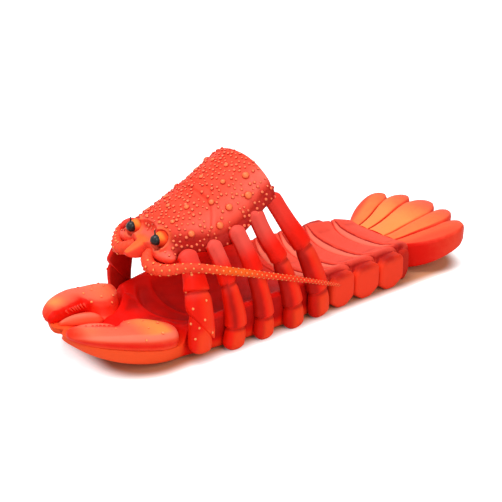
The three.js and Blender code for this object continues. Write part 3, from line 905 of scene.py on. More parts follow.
class SeedPlacer(GeometryNet):
    """One small shape at each point, turned to its aim and scaled to its size."""

    def __init__(self, seed: Seed) -> None:
        """Writes the tree.

        Args:
            seed: shape that is repeated.
        """
        super().__init__(f"placed_{seed.value}")
        scale = self.option("Scale", "Float", 1.0)
        material = self.option("Material", "Material")
        turn = self.node(
            "FunctionNodeAlignRotationToVector", {"axis": "Z"},
            {"Vector": self.attribute("aim", "FLOAT_VECTOR")},
        )
        size = self.node("ShaderNodeVectorMath", {"operation": "SCALE"}, {"Scale": scale})
        self.tree.links.new(self.attribute("size", "FLOAT_VECTOR"), size.inputs[0])
        placed = self.node(
            "GeometryNodeInstanceOnPoints", {},
            {
                "Points": self.source.outputs["Geometry"], "Instance": self.seed_shape(seed),
                "Rotation": turn.outputs[0], "Scale": size.outputs[0],
            },
        )
        self.close(placed.outputs[0], material)

    def grow(self, name: str, spots: Array, aims: Array, sizes: Array, finish: StudPaint) -> bpy.types.Mesh:
        """Shapes at spots.

        Args:
            name: name of the new mesh.
            spots: places, in millimetres.
            aims: direction of each shape's top.
            sizes: half sizes of each shape, in millimetres.
            finish: finish of all of them.

        Returns:
            Plain mesh of the shapes.
        """
        data = bpy.data.meshes.new("spots")
        data.from_pydata((spots * MM).tolist(), [], [])
        for key, values in (("aim", aims), ("size", sizes * MM)):
            layer = data.attributes.new(key, "FLOAT_VECTOR", "POINT")
            layer.data.foreach_set("vector", np.asarray(values, np.float32).ravel())
        return self.run(data, name, Material=finish.material())


class FeelerTube(GeometryNet):
    """Ringed tube along a line of points, as thick as its attribute girth says."""

    def __init__(self) -> None:
        """Writes the tree."""
        super().__init__("feeler_tube")
        sides = self.option("Sides", "Int", 28)
        spacing = self.option("Ring spacing", "Float", 0.0031)
        depth = self.option("Ring depth", "Float", 0.045)
        material = self.option("Material", "Material")
        line = self.node("GeometryNodeMeshToCurve", {}, {"Mesh": self.source.outputs["Geometry"]})
        run = self.node("GeometryNodeSplineParameter").outputs["Length"]
        turns = self.maths("MULTIPLY", self.maths("DIVIDE", run, spacing), 2 * np.pi)
        wave = self.maths("MULTIPLY", self.maths("SINE", turns), depth)
        girth = self.maths("MULTIPLY", self.attribute("girth"), self.maths("ADD", wave, 1.0))
        circle = {"Resolution": sides, "Radius": 1.0}
        round_shape = self.node("GeometryNodeCurvePrimitiveCircle", {}, circle)
        skin = self.node(
            "GeometryNodeCurveToMesh", {},
            {
                "Curve": line.outputs[0], "Profile Curve": round_shape.outputs[0],
                "Scale": girth, "Fill Caps": True,
            },
        )
        self.close(skin.outputs[0], material)


# Sole and heel


@dataclass
class Sole:
    """Body of the shoe: the footbed, its walls and the seats of the claws.

    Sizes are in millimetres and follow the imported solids.
    """

    arc_depth: float = 11.0
    tread: float = 1.2
    half_width: Profile = Profile(
        (-173, 9), (-170, 21), (-162, 32.5), (-151, 40), (-137, 44.5), (-122, 46.5), (-104, 44.5),
        (-76, 47), (-50, 48.5), (-22, 48), (5, 45), (28, 43), (54, 42), (80, 40.5), (105, 35.5), (115, 33),
    )
    spring: Profile = Profile(
        (-173, 19.5), (-170, 18.2), (-166, 15.8), (-160, 13), (-149, 8.7), (-135, 4.6), (-121, 2.1),
        (-110, 0.8), (-98, 0),
    )
    parting: Profile = Profile((-173, 25), (-152, 21.5), (-138, 18), (-122, 14.5), (-108, 13))
    rim: Profile = Profile(
        (-173, 25), (-152, 21.5), (-138, 18), (-128, 18.6), (-112, 20), (-95, 24), (-60, 27.5), (0, 28),
        (93, 28), (112, 25.5),
    )
    dish: Profile = Profile(
        (-173, 25), (-152, 21.5), (-138, 18), (-128, 18), (-100, 17.5), (-40, 18.5), (20, 19.5),
        (60, 21.5), (95, 24), (112, 25),
    )
    seat: Profile = Profile((-173, 1.6), (-140, 2.2), (-133, 10), (-126, 11.3), (-118, 17.8), (-109, 30))

    def floor(self, y: Any) -> Array:
        """Underside, which turns up at the toe."""
        return np.where(np.asarray(y) > -98, 0.0, self.spring(y))

    def sections(
        self, y: Array, bulge: Any, rise: Any = 0.0, shrink: Any = 1.0, lift: float = 0.0,
    ) -> Array:
        """Closed sections across the shoe.

        Args:
            y: place of each section at the walls.
            bulge: how far the middle of each lies toward the toe.
            rise: lift of the top of each.
            shrink: 1 for a whole section, toward 0 where it closes an end.
            lift: height of the underside above the ground.

        Returns:
            Array of shape (sections, points, 3).
        """
        y = np.asarray(y, float)
        bulge, rise, shrink = (np.broadcast_to(v, y.shape).astype(float) for v in (bulge, rise, shrink))
        w, floor, seat, parting = (f(y) for f in (self.half_width, self.floor, self.seat, self.parting))
        floor = floor + lift
        toe = (1 - smooth(y, -109, -103))[:, None, None]
        top = self.rim(y) + rise
        dish = self.dish(y) + rise
        behind = [
            (w - 0.6, mix(floor, top, 0.3)), (w, top - 4), (w - 0.9, top - 1), (w - 4, top),
            (w - 9, mix(top, dish, 0.3)), (w * 0.62, mix(top, dish, 0.72)),
            (w * 0.32, mix(top, dish, 0.94)),
        ]
        under = [
            (w + 0.2, mix(floor, parting, 0.5)), (w + 1.0, parting - 1.2), (w - 0.6, parting),
            (mix(w, seat, 0.6), parting), (mix(w, seat, 0.9), parting),
            (seat * 0.92, top), (seat * 0.5, dish),
        ]
        upper = mix(*(np.stack([np.stack(p, -1) for p in part], 1) for part in (behind, under)), toe)
        zero = np.zeros_like(w)
        edge = np.stack([
            np.stack([zero, floor], -1), np.stack([w * 0.5, floor], -1),
            np.stack([w * 0.88, floor], -1), np.stack([w * 0.965, floor + 1.6], -1),
        ], 1)
        half = np.concatenate([edge, upper, np.stack([zero, dish], -1)[:, None]], 1)
        line = rounded_line(half, 6)
        x = np.maximum(line[..., 0], 0)
        z = np.maximum(line[..., 1], floor[:, None])
        middle = ((floor + dish) / 2)[:, None]
        inward = x * shrink[:, None]
        along = y[:, None] - bulge[:, None] * (1 - (inward / w[:, None]) ** 2)
        height = mix(middle, z, shrink[:, None])
        right = np.stack([inward, along, height], -1)
        left = (right * np.array([-1.0, 1.0, 1.0]))[:, -2:0:-1]
        return np.concatenate([right, left], 1)

    def footbed_relief(self, points: Array) -> Array:
        """Rise of the footbed: two curved steps behind the toe and a shallow arch."""
        x, y, z = points.T
        side = smooth(1 - np.abs(x) / (0.86 * self.half_width(y)), 0, 0.3)
        first = -105.6 + 0.0095 * x**2
        second = -89.5 + 0.006 * x**2
        steps = 1.5 * (1 - smooth(y - first, -0.9, 0.9)) - 1.3 * smooth(y - second, -0.9, 0.9)
        fade = smooth(y, -128, -118) * (1 - smooth(y, -70, -35))
        lips = 0.35 * hump(y, first - 1.4, 1.2) + 0.35 * hump(y, second - 1.4, 1.2)
        return (steps + lips) * fade * side * (z > 14)

    def front(self) -> Form:
        """Front of the sole, from the notch in the toe to the first heel segment."""
        y = np.concatenate([
            [-173, -172.9, -172.6], np.arange(-172, -100, 0.8), np.arange(-100, 12, 1.1), [14, 16, 17, 17],
        ])
        bulge = self.arc_depth * smooth(y, 2, 14)
        shrink = np.ones_like(y)
        shrink[:3] = (0.3, 0.75, 0.93)
        shrink[-1] = 0.6
        rings = self.sections(y, bulge, 0.0, shrink, self.tread)
        notch = 4.2 * hump(rings[..., 0], 0, 3.2) * (1 - smooth(rings[..., 1], -172, -160))
        rings[..., 1] += notch
        form = Form.rings(rings)
        form.points[:, 2] += self.footbed_relief(form.points)
        return form

    def paint_front(self, form: Form) -> dict[Paint, Array]:
        """Masks of the sole: painted shade with maroon between the legs, in steps and underneath; paler
        footbed toward the heel.
        """
        x, y, z = form.points.T
        wide = np.abs(x) / self.half_width(y)
        # painted shade and maroon paint on the walls between the legs, lighter toward the rim
        wall = smooth(wide, 0.93, 0.985) * smooth(z, 5, 11) * smooth(y, -92, -84)
        wall = wall * (1 - smooth(z, self.rim(y) - 2.5, self.rim(y) - 0.5) * 0.6)
        # painted shade in the hollows of the footbed's steps
        steps = form.hollows(14, 0.25) * smooth(z, 12, 16) * (1 - smooth(wide, 0.85, 0.95))
        # painted shade along the underside
        under = 1 - smooth(z, self.tread + 0.1, self.tread + 0.8)
        bed = (1 - smooth(wide, 0.9, 0.99)) * smooth(z, 12, 16)
        return {
            Paint.DEEP: wall * 0.85 * smooth(z, 6, 12) + steps * 0.45 + under * 0.5,
            Paint.DUST: bed * smooth(y, -16, 20) * 0.95,
            Paint.WARM: (
                np.maximum(smooth(-y, 104, 112) * smooth(wide, 0.8, 0.9), smooth(-y, 158, 166)) * 0.9
                + 0.35 * smooth(wide, 0.9, 0.97) * (1 - smooth(z, 5, 9)) * smooth(y, -104, -92)
            ) * (1 - under),
        }

    def tread_bars(self) -> tuple[Array, Array]:
        """Places and half sizes of the ribs under the sole."""
        y = np.arange(-158, 104, 7.5)
        reach = self.half_width(y) * 0.8 - 2
        lift = self.floor(y)
        spots, sizes = [], []
        for row, (along, half, low) in enumerate(zip(y, reach, lift)):
            parts = 3 if half > 30 else 2
            width = half / parts - 1.4
            for column in range(parts):
                x = (2 * column + 1 - parts) * half / parts + (0.9 if row % 2 else -0.9)
                spots.append((x, along, low + self.tread))
                sizes.append((width, 1.7, self.tread * 0.95))
        return np.array(spots), np.array(sizes)

    def build(self, bars: SeedPlacer) -> None:
        """Makes the sole and its tread."""
        form = self.front()
        data = painted(form, "footbed", FOOTBED, self.paint_front(form))
        dress("footbed", data, ["sole_front"])
        spots, sizes = self.tread_bars()
        up = np.tile([0.0, 0.0, 1.0], (len(spots), 1))
        paint = StudPaint("tread_ribs", (0.60, 0.03, 0.015), (0.70, 0.04, 0.02))
        dress("tread_ribs", bars.grow("tread_ribs", spots, up, sizes, paint))


@dataclass
class Heel:
    """Ringed abdomen: four segments with crescent ledges and hanging side plates."""

    sole: Sole
    start: float = 17.0
    ends: tuple[float, ...] = (41.0, 67.0, 93.5, 111.0)
    ledge_depth: float = 3.6
    ledge_rise: float = 1.3
    root_bulge: float = 2.0
    bevel: float = 2.6

    def segment(self, front: float, rear: float, rear_bulge: float) -> Form:
        """One segment: groove, smooth crescent, step and domed back.

        Args:
            front: start of the segment at the walls.
            rear: its end.
            rear_bulge: curve of its rear edge.
        """
        arc = self.sole.arc_depth
        c = np.linspace(0, 1, 22)
        s = np.linspace(0, 1, 9)
        b = np.linspace(0, 1, 26)[1:]
        crest = -0.9 * (1 - smooth(c, 0, 0.16)) + 0.75 * np.sin(np.pi * c) - 0.75 * smooth(c, 0.84, 1)
        y = [
            [front + 0.3] * 3, front + 0.4 + 0.9 * c, front + 1.3 + 1.1 * s,
            mix(front + 2.4, rear - 0.15, b),
        ]
        bulge = [[arc] * 3, mix(arc, self.ledge_depth, c), mix(self.ledge_depth, self.ledge_depth - 0.6, s)]
        bulge.append(mix(self.ledge_depth - 0.6, rear_bulge, b))
        back = mix(self.ledge_rise, 0.25, b) - 0.9 * smooth(b, 0.94, 1)
        rise = [[-0.9] * 3, crest, mix(-0.75, self.ledge_rise, smooth(s)), back]
        shrink = [[0.1, 0.6, 0.9], np.ones(len(c) + len(s) + len(b))]
        y, bulge, rise, shrink = (np.concatenate(v) for v in (y, bulge, rise, shrink))
        y = np.append(y, [rear] * 2)
        bulge = np.append(bulge, [rear_bulge] * 2)
        rise = np.append(rise, [-0.7] * 2)
        shrink = np.append(shrink, [0.85, 0.2])
        return Form.rings(self.sole.sections(y, bulge, rise, shrink))

    def plate(self, front: float, rear: float, outer: float, top: float) -> Form:
        """Side plate with six soft corners, flat outside and bevelled all round.

        Args:
            front: front edge, along the shoe.
            rear: rear edge.
            outer: outside face.
            top: upper edge.
        """
        outline = np.array([
            (front, 5.6), (mix(front, rear, 0.3), 0.15), (mix(front, rear, 0.62), 0.15), (rear, 6.6),
            (rear - 0.6, top - 3.2), (mix(front, rear, 0.84), top - 0.3), (mix(front, rear, 0.5), top),
            (mix(front, rear, 0.14), top - 1.2), (front, top - 5.5),
        ])
        per = 12
        corners = np.vstack([outline, outline[:1]])
        edge = np.concatenate([mix(a, b, np.linspace(0, 1, per, endpoint=False)[:, None])
                               for a, b in zip(corners[:-1], corners[1:])])
        for _ in range(5):
            edge = (np.roll(edge, 1, 0) + edge * 2 + np.roll(edge, -1, 0)) / 4
        centre = edge.mean(0)
        reach = np.linalg.norm(edge - centre, axis=1).mean()
        turn = np.linspace(0, np.pi / 2, 8)
        flat = np.linspace(self.bevel * 1.4, reach, 6)[:-1]
        inset = np.concatenate([[0, 0], self.bevel * (1 - np.cos(turn)), flat])
        wall = self.sole.half_width(rear) - 3
        bevelled = outer - self.bevel + self.bevel * np.sin(turn)
        x = np.concatenate([[wall - 2, wall], bevelled, [outer + 0.1] * len(flat)])
        rings = [
            np.column_stack([np.full(len(edge), h), mix(edge, centre, i / reach)])
            for h, i in zip(x, inset)
        ]
        return Form.rings(np.array(rings))

    def paint(self, form: Form, front: float, rear: float) -> dict[Paint, Array]:
        """Masks of a segment: warm crescent, red plates, painted shade in hollows, in gaps and on plate
        shoulders.
        """
        x, y, z = form.points.T
        wide = np.abs(x) / self.sole.half_width(y)
        arc = front - self.sole.arc_depth * (1 - np.clip(wide, 0, 1) ** 2)
        ledge = front + 1.6 - self.ledge_depth * (1 - np.clip(wide, 0, 1) ** 2)
        top = smooth(form.normals()[:, 2], 0.3, 0.7)
        crescent = smooth(y - arc, 0.3, 1.5) * (1 - smooth(y - ledge, -2.0, -0.2)) * top
        crescent = crescent * (1 - smooth(wide, 0.7, 0.95))
        plates = smooth(wide, 0.99, 1.03)
        rearward = smooth(y, mix(front, rear, 0.35), mix(front, rear, 0.9))
        # painted shade on the plates' rounded top shoulders
        shoulder = hump(z, 26.6, 3.2) * smooth(wide, 0.86, 0.97) * (1 - rearward * 0.7)
        # painted shade in hollows
        hollow = form.hollows(16, 0.28)
        # painted shade on the walls in the gaps between plates
        wall = smooth(wide, 0.93, 0.98) * (1 - plates) * (1 - smooth(z, 20, 25))
        under = 1 - smooth(z, 0.3, 1.2)
        return {
            Paint.WARM: crescent * 0.85 + 0.2 * hump(y, rear - 7, 5) * top * (1 - smooth(wide, 0.5, 0.9)),
            Paint.DUST: plates * (1 - under * 0.4),
            Paint.DEEP: np.max([hollow * 1.3, shoulder * 0.95, wall, plates * 0.7 * (rear > 105)], axis=0),
        }

    def build(self) -> None:
        """Makes the four segments."""
        starts = (self.start, *self.ends[:-1])
        for i, (front, rear) in enumerate(zip(starts, self.ends)):
            last = i == len(self.ends) - 1
            back = self.segment(front, rear, self.root_bulge if last else self.sole.arc_depth)
            plate = (
                self.plate(front + 1, rear - 6, 42, 25) if last
                else self.plate(front + 0.7, rear - 0.7, 49.5 - 0.6 * i, 26.8)
            )
            form = fused([back, plate, plate.on(Side.RIGHT)], 0.62, 2)
            form.points[:, 2] = np.maximum(form.points[:, 2], 0)
            name = f"heel_ring_{i + 1}"
            data = painted(form, name, ABDOMEN, self.paint(form, front, rear))
            dress(name, data, [f"abdomen_segment_{i + 1}"])


@dataclass
class Petal:
    """One petal of the tail fan between two edges in plan."""

    name: str
    node: str
    near: Spline
    far: Spline
    tip_lift: float
    level: float = 0.0


@dataclass
class TailFan:
    """Telson between two pairs of petals, thick at the root and turned up at the tips."""

    root: float = 111.0
    length: float = 62.0
    root_height: float = 24.2
    root_thickness: float = 21.0
    tip_thickness: float = 12.0
    root_bulge: float = 2.0
    root_half: float = 33.0
    edge: float = 1.6

    def spot(self, x: float) -> tuple[float, float]:
        """Start of the fan at x, just behind the heel."""
        return x, self.root + 0.1 - self.root_bulge * (1 - (x / self.root_half) ** 2)

    def petals(self) -> list[Petal]:
        """The middle petal and the two on the left."""
        return [
            Petal("fan_middle", "telson",
                  Spline(self.spot(-9.3), (-10.9, 128), (-13.9, 148),
                         (-14.2, 156), (-10, 166), (-4, 171.5)),
                  Spline(self.spot(9.3), (10.9, 128), (13.9, 148), (14.2, 156), (10, 166), (4, 171.5)),
                  13.0, 0.35),
            Petal("fan_inner", "uropod_inner",
                  Spline(self.spot(9.2), (10.7, 128), (13.8, 148), (14.6, 157), (16.5, 164.5), (21, 169)),
                  Spline(self.spot(20.3), (24.8, 126), (30.8, 142),
                         (33.3, 152), (32, 160.5), (27.5, 167.5)),
                  13.0, 0.0),
            Petal("fan_outer", "uropod_outer",
                  Spline(self.spot(20.2), (24.7, 126), (30.7, 142), (33.5, 153), (37, 158.5), (41.5, 161)),
                  Spline(self.spot(33), (39, 118), (46.5, 130), (51, 143), (51.5, 152), (48.5, 159)),
                  12.0, -0.2),
        ]

    def form(self, petal: Petal) -> Form:
        """Solid of one petal, domed on top, with a rolled edge and steep walls."""
        u = crowded(96)
        v = crowded(56)
        a, b = petal.near.at(u)[:, None], petal.far.at(u)[:, None]
        flat = mix(a, b, v[None, :, None])
        width = np.linalg.norm(b - a, axis=-1)
        reach = np.clip((flat[..., 1] - self.root) / self.length, 0, 1)
        uu, vv = np.broadcast_arrays(u[:, None], v[None, :])
        across = np.abs(2 * vv - 1)
        dome = (1 - across**2.4) * np.sin(np.pi * (0.12 + 0.8 * uu))
        to_edge = np.minimum((1 - across) * width / 2, (1 - uu) * self.length)
        to_edge = np.minimum(to_edge, uu * self.length + 0.5)
        roll = self.edge * (1 - np.sqrt(1 - np.clip(1 - to_edge / self.edge, 0, 1) ** 2))
        line = self.root_height + petal.tip_lift * smooth(reach, -0.1, 0.95) + petal.level
        top = line + 2.5 * dome - roll - 0.8 * smooth(across, 0.8, 1) - 1.2 * smooth(uu, 0.93, 1)
        thick = mix(self.root_thickness, self.tip_thickness, reach**1.5)
        low = np.minimum(line - petal.level - thick + 1.4 * roll + 0.6, top - 2.0)
        upper, lower = (np.dstack([flat[..., :2], z]) for z in (top, low))
        return Form.sheets(upper, lower)

    def paint(self, form: Form, petal: Petal, side: Side) -> dict[Paint, Array]:
        """Masks of a petal: yellow at the heart, redder tip and walls, painted shade in its hollows, where
        petals meet.
        """
        x, y, z = form.points.T
        reach = np.clip((y - self.root) / self.length, 0, 1)
        up = smooth(form.normals()[:, 2], 0.35, 0.8)
        heart = (1 - smooth(reach, 0.35, 0.95)) * up
        # painted shade where petals meet and in other hollows
        crease_shade = form.hollows(10, 0.3)
        amount = {
            "fan_middle": 0.95, "fan_inner": 0.95 if side is Side.RIGHT else 0.55,
            "fan_outer": 0.6 if side is Side.RIGHT else 0.2,
        }[petal.name]
        if petal.name == "fan_outer":
            heart = heart * (1 - smooth(x - (y - self.root) * 0.45, 26, 33))
        flank = (1 - up) * (1 - smooth(z, 33, 39) * 0.5)
        return {
            Paint.WARM: heart * amount,
            Paint.DEEP: np.maximum(flank * mix(1.0, 0.4, smooth(reach, 0.1, 0.7)), crease_shade * 0.9),
            Paint.DUST: smooth(reach, 0.45, 0.9) * up * 0.8,
        }

    def build(self) -> None:
        """Makes the five petals."""
        for petal in self.petals():
            form = self.form(petal)
            if petal.node == "telson":
                data = painted(form, petal.name, FAN, self.paint(form, petal, Side.LEFT))
                dress(petal.name, data, ["telson"])
                continue
            for side in Side:
                name = f"{petal.name}_{side.word}"
                data = painted(form.on(side), name, FAN, self.paint(form, petal, side))
                dress(name, data, [f"{petal.node}_{side.word}"])


# Toe


@dataclass
class Claw:
    """Claw on the toe: broad palm with its first finger, teeth and a second finger as relief."""

    sole: Sole
    teeth: int = 7
    finger_rise: float = 3.7
    outer: Spline = Spline(
        (37, -108.5), (47, -112), (49.5, -122), (47.3, -136), (43, -150), (35, -162.5), (24, -171.7),
        (13.5, -175),
    )
    inner: Spline = Spline(
        (34, -109), (21, -117), (12.5, -128), (14, -135.5), (20.6, -141.5), (18.2, -149.5),
        (15.6, -156), (9, -169),
    )
    top: Profile = Profile(
        (-175, 29), (-168, 31.5), (-155, 31.5), (-143, 30.3), (-132, 28.4), (-120, 27), (-108, 24),
    )
    palm_section: tuple[tuple[float, float], ...] = (
        (-0.16, 0.0), (-0.06, 0.13), (0.0, 0.36), (0.05, 0.62), (0.15, 0.83), (0.33, 0.93), (0.53, 1.0),
        (0.74, 1.0), (0.88, 0.93), (0.965, 0.76), (1.0, 0.52), (0.985, 0.3), (0.95, 0.13), (0.945, 0.0),
    )
    finger_section: tuple[tuple[float, float], ...] = (
        (0.05, 0.0), (0.0, 0.2), (0.0, 0.42), (0.035, 0.6), (0.15, 0.78), (0.32, 0.91), (0.52, 1.0),
        (0.73, 0.99), (0.88, 0.89), (0.965, 0.72), (1.0, 0.5), (0.98, 0.29), (0.945, 0.13), (0.94, 0.0),
    )
    finger_outer: Spline = Spline((12, -135.6), (19.8, -142), (17.8, -149.5), (15.2, -156), (8.6, -168.3))
    finger_inner: Spline = Spline((7, -135.4), (3.2, -141), (2.0, -149), (2.2, -158), (5.6, -168))

    def seat(self, y: Any) -> Array:
        """Height of the sole under the claw."""
        return self.sole.parting(y) + 0.3

    def palm(self) -> Form:
        """Palm and first finger in one."""
        u = np.unique(np.concatenate([crowded(130), np.linspace(0.5, 0.9, 60)]))
        sections = [np.array(s)[None] for s in (self.palm_section, self.finger_section)]
        blend = smooth(u, 0.5, 0.6)[:, None, None]
        line = rounded_line(mix(*sections, blend), 5)
        line[..., 1] = np.maximum(line[..., 1], 0)
        floor = mix(line[:, -1:], line[:, :1], np.linspace(0, 1, 10)[1:-1][None, :, None])
        line = np.concatenate([line, floor], 1)
        a, b = self.inner.at(u), self.outer.at(u)
        tip = np.sqrt(np.clip(1 - np.clip((u - 0.93) / 0.07, 0, 1) ** 2, 0.003, 1))
        rear = np.sqrt(np.clip(1 - (1 - np.clip(u / 0.12, 0, 1)) ** 2, 0.01, 1))
        middle = (a + b) / 2
        a, b = (middle + (p - middle) * tip[:, None] for p in (a, b))
        spot = mix(a[:, None], b[:, None], line[..., :1])
        base = self.seat(spot[..., 1])
        height = (self.top(spot[..., 1]) + 0.5 - base) * (rear * np.sqrt(tip))[:, None]
        spot[..., 2] = base + height * line[..., 1]
        return Form.rings(spot)

    def finger(self) -> Form:
        """Second finger, highest toward the middle of the toe."""
        u = crowded(70)
        section = np.array([
            (0.0, 0.0), (0.0, 0.25), (0.05, 0.55), (0.18, 0.82), (0.38, 0.98), (0.52, 1.0), (0.66, 0.9),
            (0.82, 0.68), (0.95, 0.4), (1.0, 0.15), (1.0, 0.0),
        ])
        line = np.repeat(rounded_line(section[None], 5), len(u), 0)
        line[..., 1] = np.maximum(line[..., 1], 0)
        ends = np.sqrt(np.clip(1 - np.abs(2 * u - 1) ** 3.2, 0.004, 1))
        a, b = self.finger_inner.at(u), self.finger_outer.at(u)
        spot = mix(a[:, None], b[:, None], line[..., :1])
        base = self.seat(spot[..., 1])
        spot[..., 2] = base + (self.finger_rise + 0.5) * ends[:, None] * line[..., 1]
        return Form.rings(spot)

    def paint_palm(self, form: Form, side: Side) -> dict[Paint, Array]:
        """Masks of the palm: yellow plateau and tip, painted shade over the parting line and on inner
        walls, painted highlight on top.
        """
        x, y, z = form.points.T
        normal = form.normals()
        up = smooth(normal[:, 2], 0.45, 0.9)
        share = (z - self.seat(y)) / np.maximum(self.top(y) - self.seat(y), 1)
        outer = smooth(normal[:, 0], 0.15, 0.6)
        # painted shade: red stripe over the parting line where the wall curves under
        shade_band = hump(share, 0.3, 0.22) * smooth(x, 14, 24)
        # painted shade on walls that look inward
        inner = smooth(-normal[:, 0], 0.1, 0.6)
        plateau = smooth(share, 0.84, 0.97) * smooth(-y, 112, 119) * (1 - smooth(-y, 122, 141))
        tip = up * hump(y, -162, 6.5) * hump(x, 25, 7) * (0.85 if side is Side.RIGHT else 0.15)
        # painted shade in the notch between palm and finger
        wedge = hump(y, -139.5, 3.2) * hump(x, 19.5, 3.0)
        rear = smooth(y, -119, -110) * (1 - smooth(x, 30, 40) * 0.6)
        front = smooth(-y, 163, 172)
        strength = 0.25 if side is Side.RIGHT else 1.0
        return {
            Paint.WARM: plateau * 0.9 * strength + tip,
            Paint.DEEP: np.max([
                shade_band * 0.85, rear * 0.85, inner * mix(0.7, 1.6, smooth(-y, 138, 142)), wedge, front * 0.6,
            ], axis=0),
            # painted highlight on the outer wall and on upward faces
            Paint.DUST: np.maximum(outer * smooth(share, 0.5, 0.72), 0.5 * up * (1 - front)),
        }

    def paint_finger(self, form: Form) -> dict[Paint, Array]:
        """Masks of the finger: painted highlight on the crest, painted shade beside the teeth and at the
        root.
        """
        x, y = form.points.T[:2]
        normal = form.normals()
        return {
            # painted highlight along the upward crest
            Paint.DUST: smooth(normal[:, 2], 0.75, 0.98) * hump(x, 9, 4) * 0.9,
            # painted shade beside the teeth and at the finger's root
            Paint.DEEP: smooth(x, 11, 17) * 0.95 + 0.5 * hump(y, -136, 3),
        }

    def tooth_spots(self) -> tuple[Array, Array, Array]:
        """Places, aims and half sizes of the teeth along the first finger."""
        u = np.linspace(0.61, 0.9, self.teeth)
        spots = self.inner.at(u)
        across = unit(spots - self.outer.at(u))
        base = self.seat(spots[:, 1])
        spots[:, 2] = base + (self.top(spots[:, 1]) - base) * 0.72
        spots -= across * 0.3
        aims = unit(across + np.array([0.0, 0.0, -1.1]))
        size = np.interp(u, [0.6, 0.75, 0.92], [0.95, 1.0, 0.8])
        return spots, aims, np.column_stack([size, size, size * 1.9])

    def studs(self, form: Form) -> Array:
        """How thickly studs lie on the palm."""
        y = form.points[:, 1]
        up = smooth(form.normals()[:, 2], 0.25, 0.5)
        return up * smooth(y, -152, -140) * (1 - smooth(y, -117, -112))

    def build(self, scatter: StudScatter, teeth: SeedPlacer) -> None:
        """Makes both claws."""
        palm, finger = self.palm(), self.finger()
        finger_masks = self.paint_finger(finger)
        spots, aims, sizes = self.tooth_spots()
        density = self.studs(palm)
        for side in Side:
            name = f"claw_{side.word}"
            data = painted(palm.on(side), name, CLAW, self.paint_palm(palm, side))
            dress(name, data, [f"claw_palm_{side.word}"])
            ground = data.copy()
            store(ground, "studs", density)
            made = scatter.run(
                ground, f"{name}_studs", Spacing=0.0072, Density=30000.0, Smallest=0.0007,
                Largest=0.00105, Rise=0.8, Seed=7 + side.value, Material=CLAW_STUDS.material(),
            )
            dress(f"{name}_studs", made)
            made = teeth.grow(f"{name}_teeth", spots * side.flip, aims * side.flip, sizes, TEETH)
            dress(f"{name}_teeth", made)
            part = f"claw_finger_{side.word}"
            data = painted(finger.on(side), f"dactyl_{side.word}", CLAW, finger_masks)
            dress(f"dactyl_{side.word}", data, [part])


# Legs


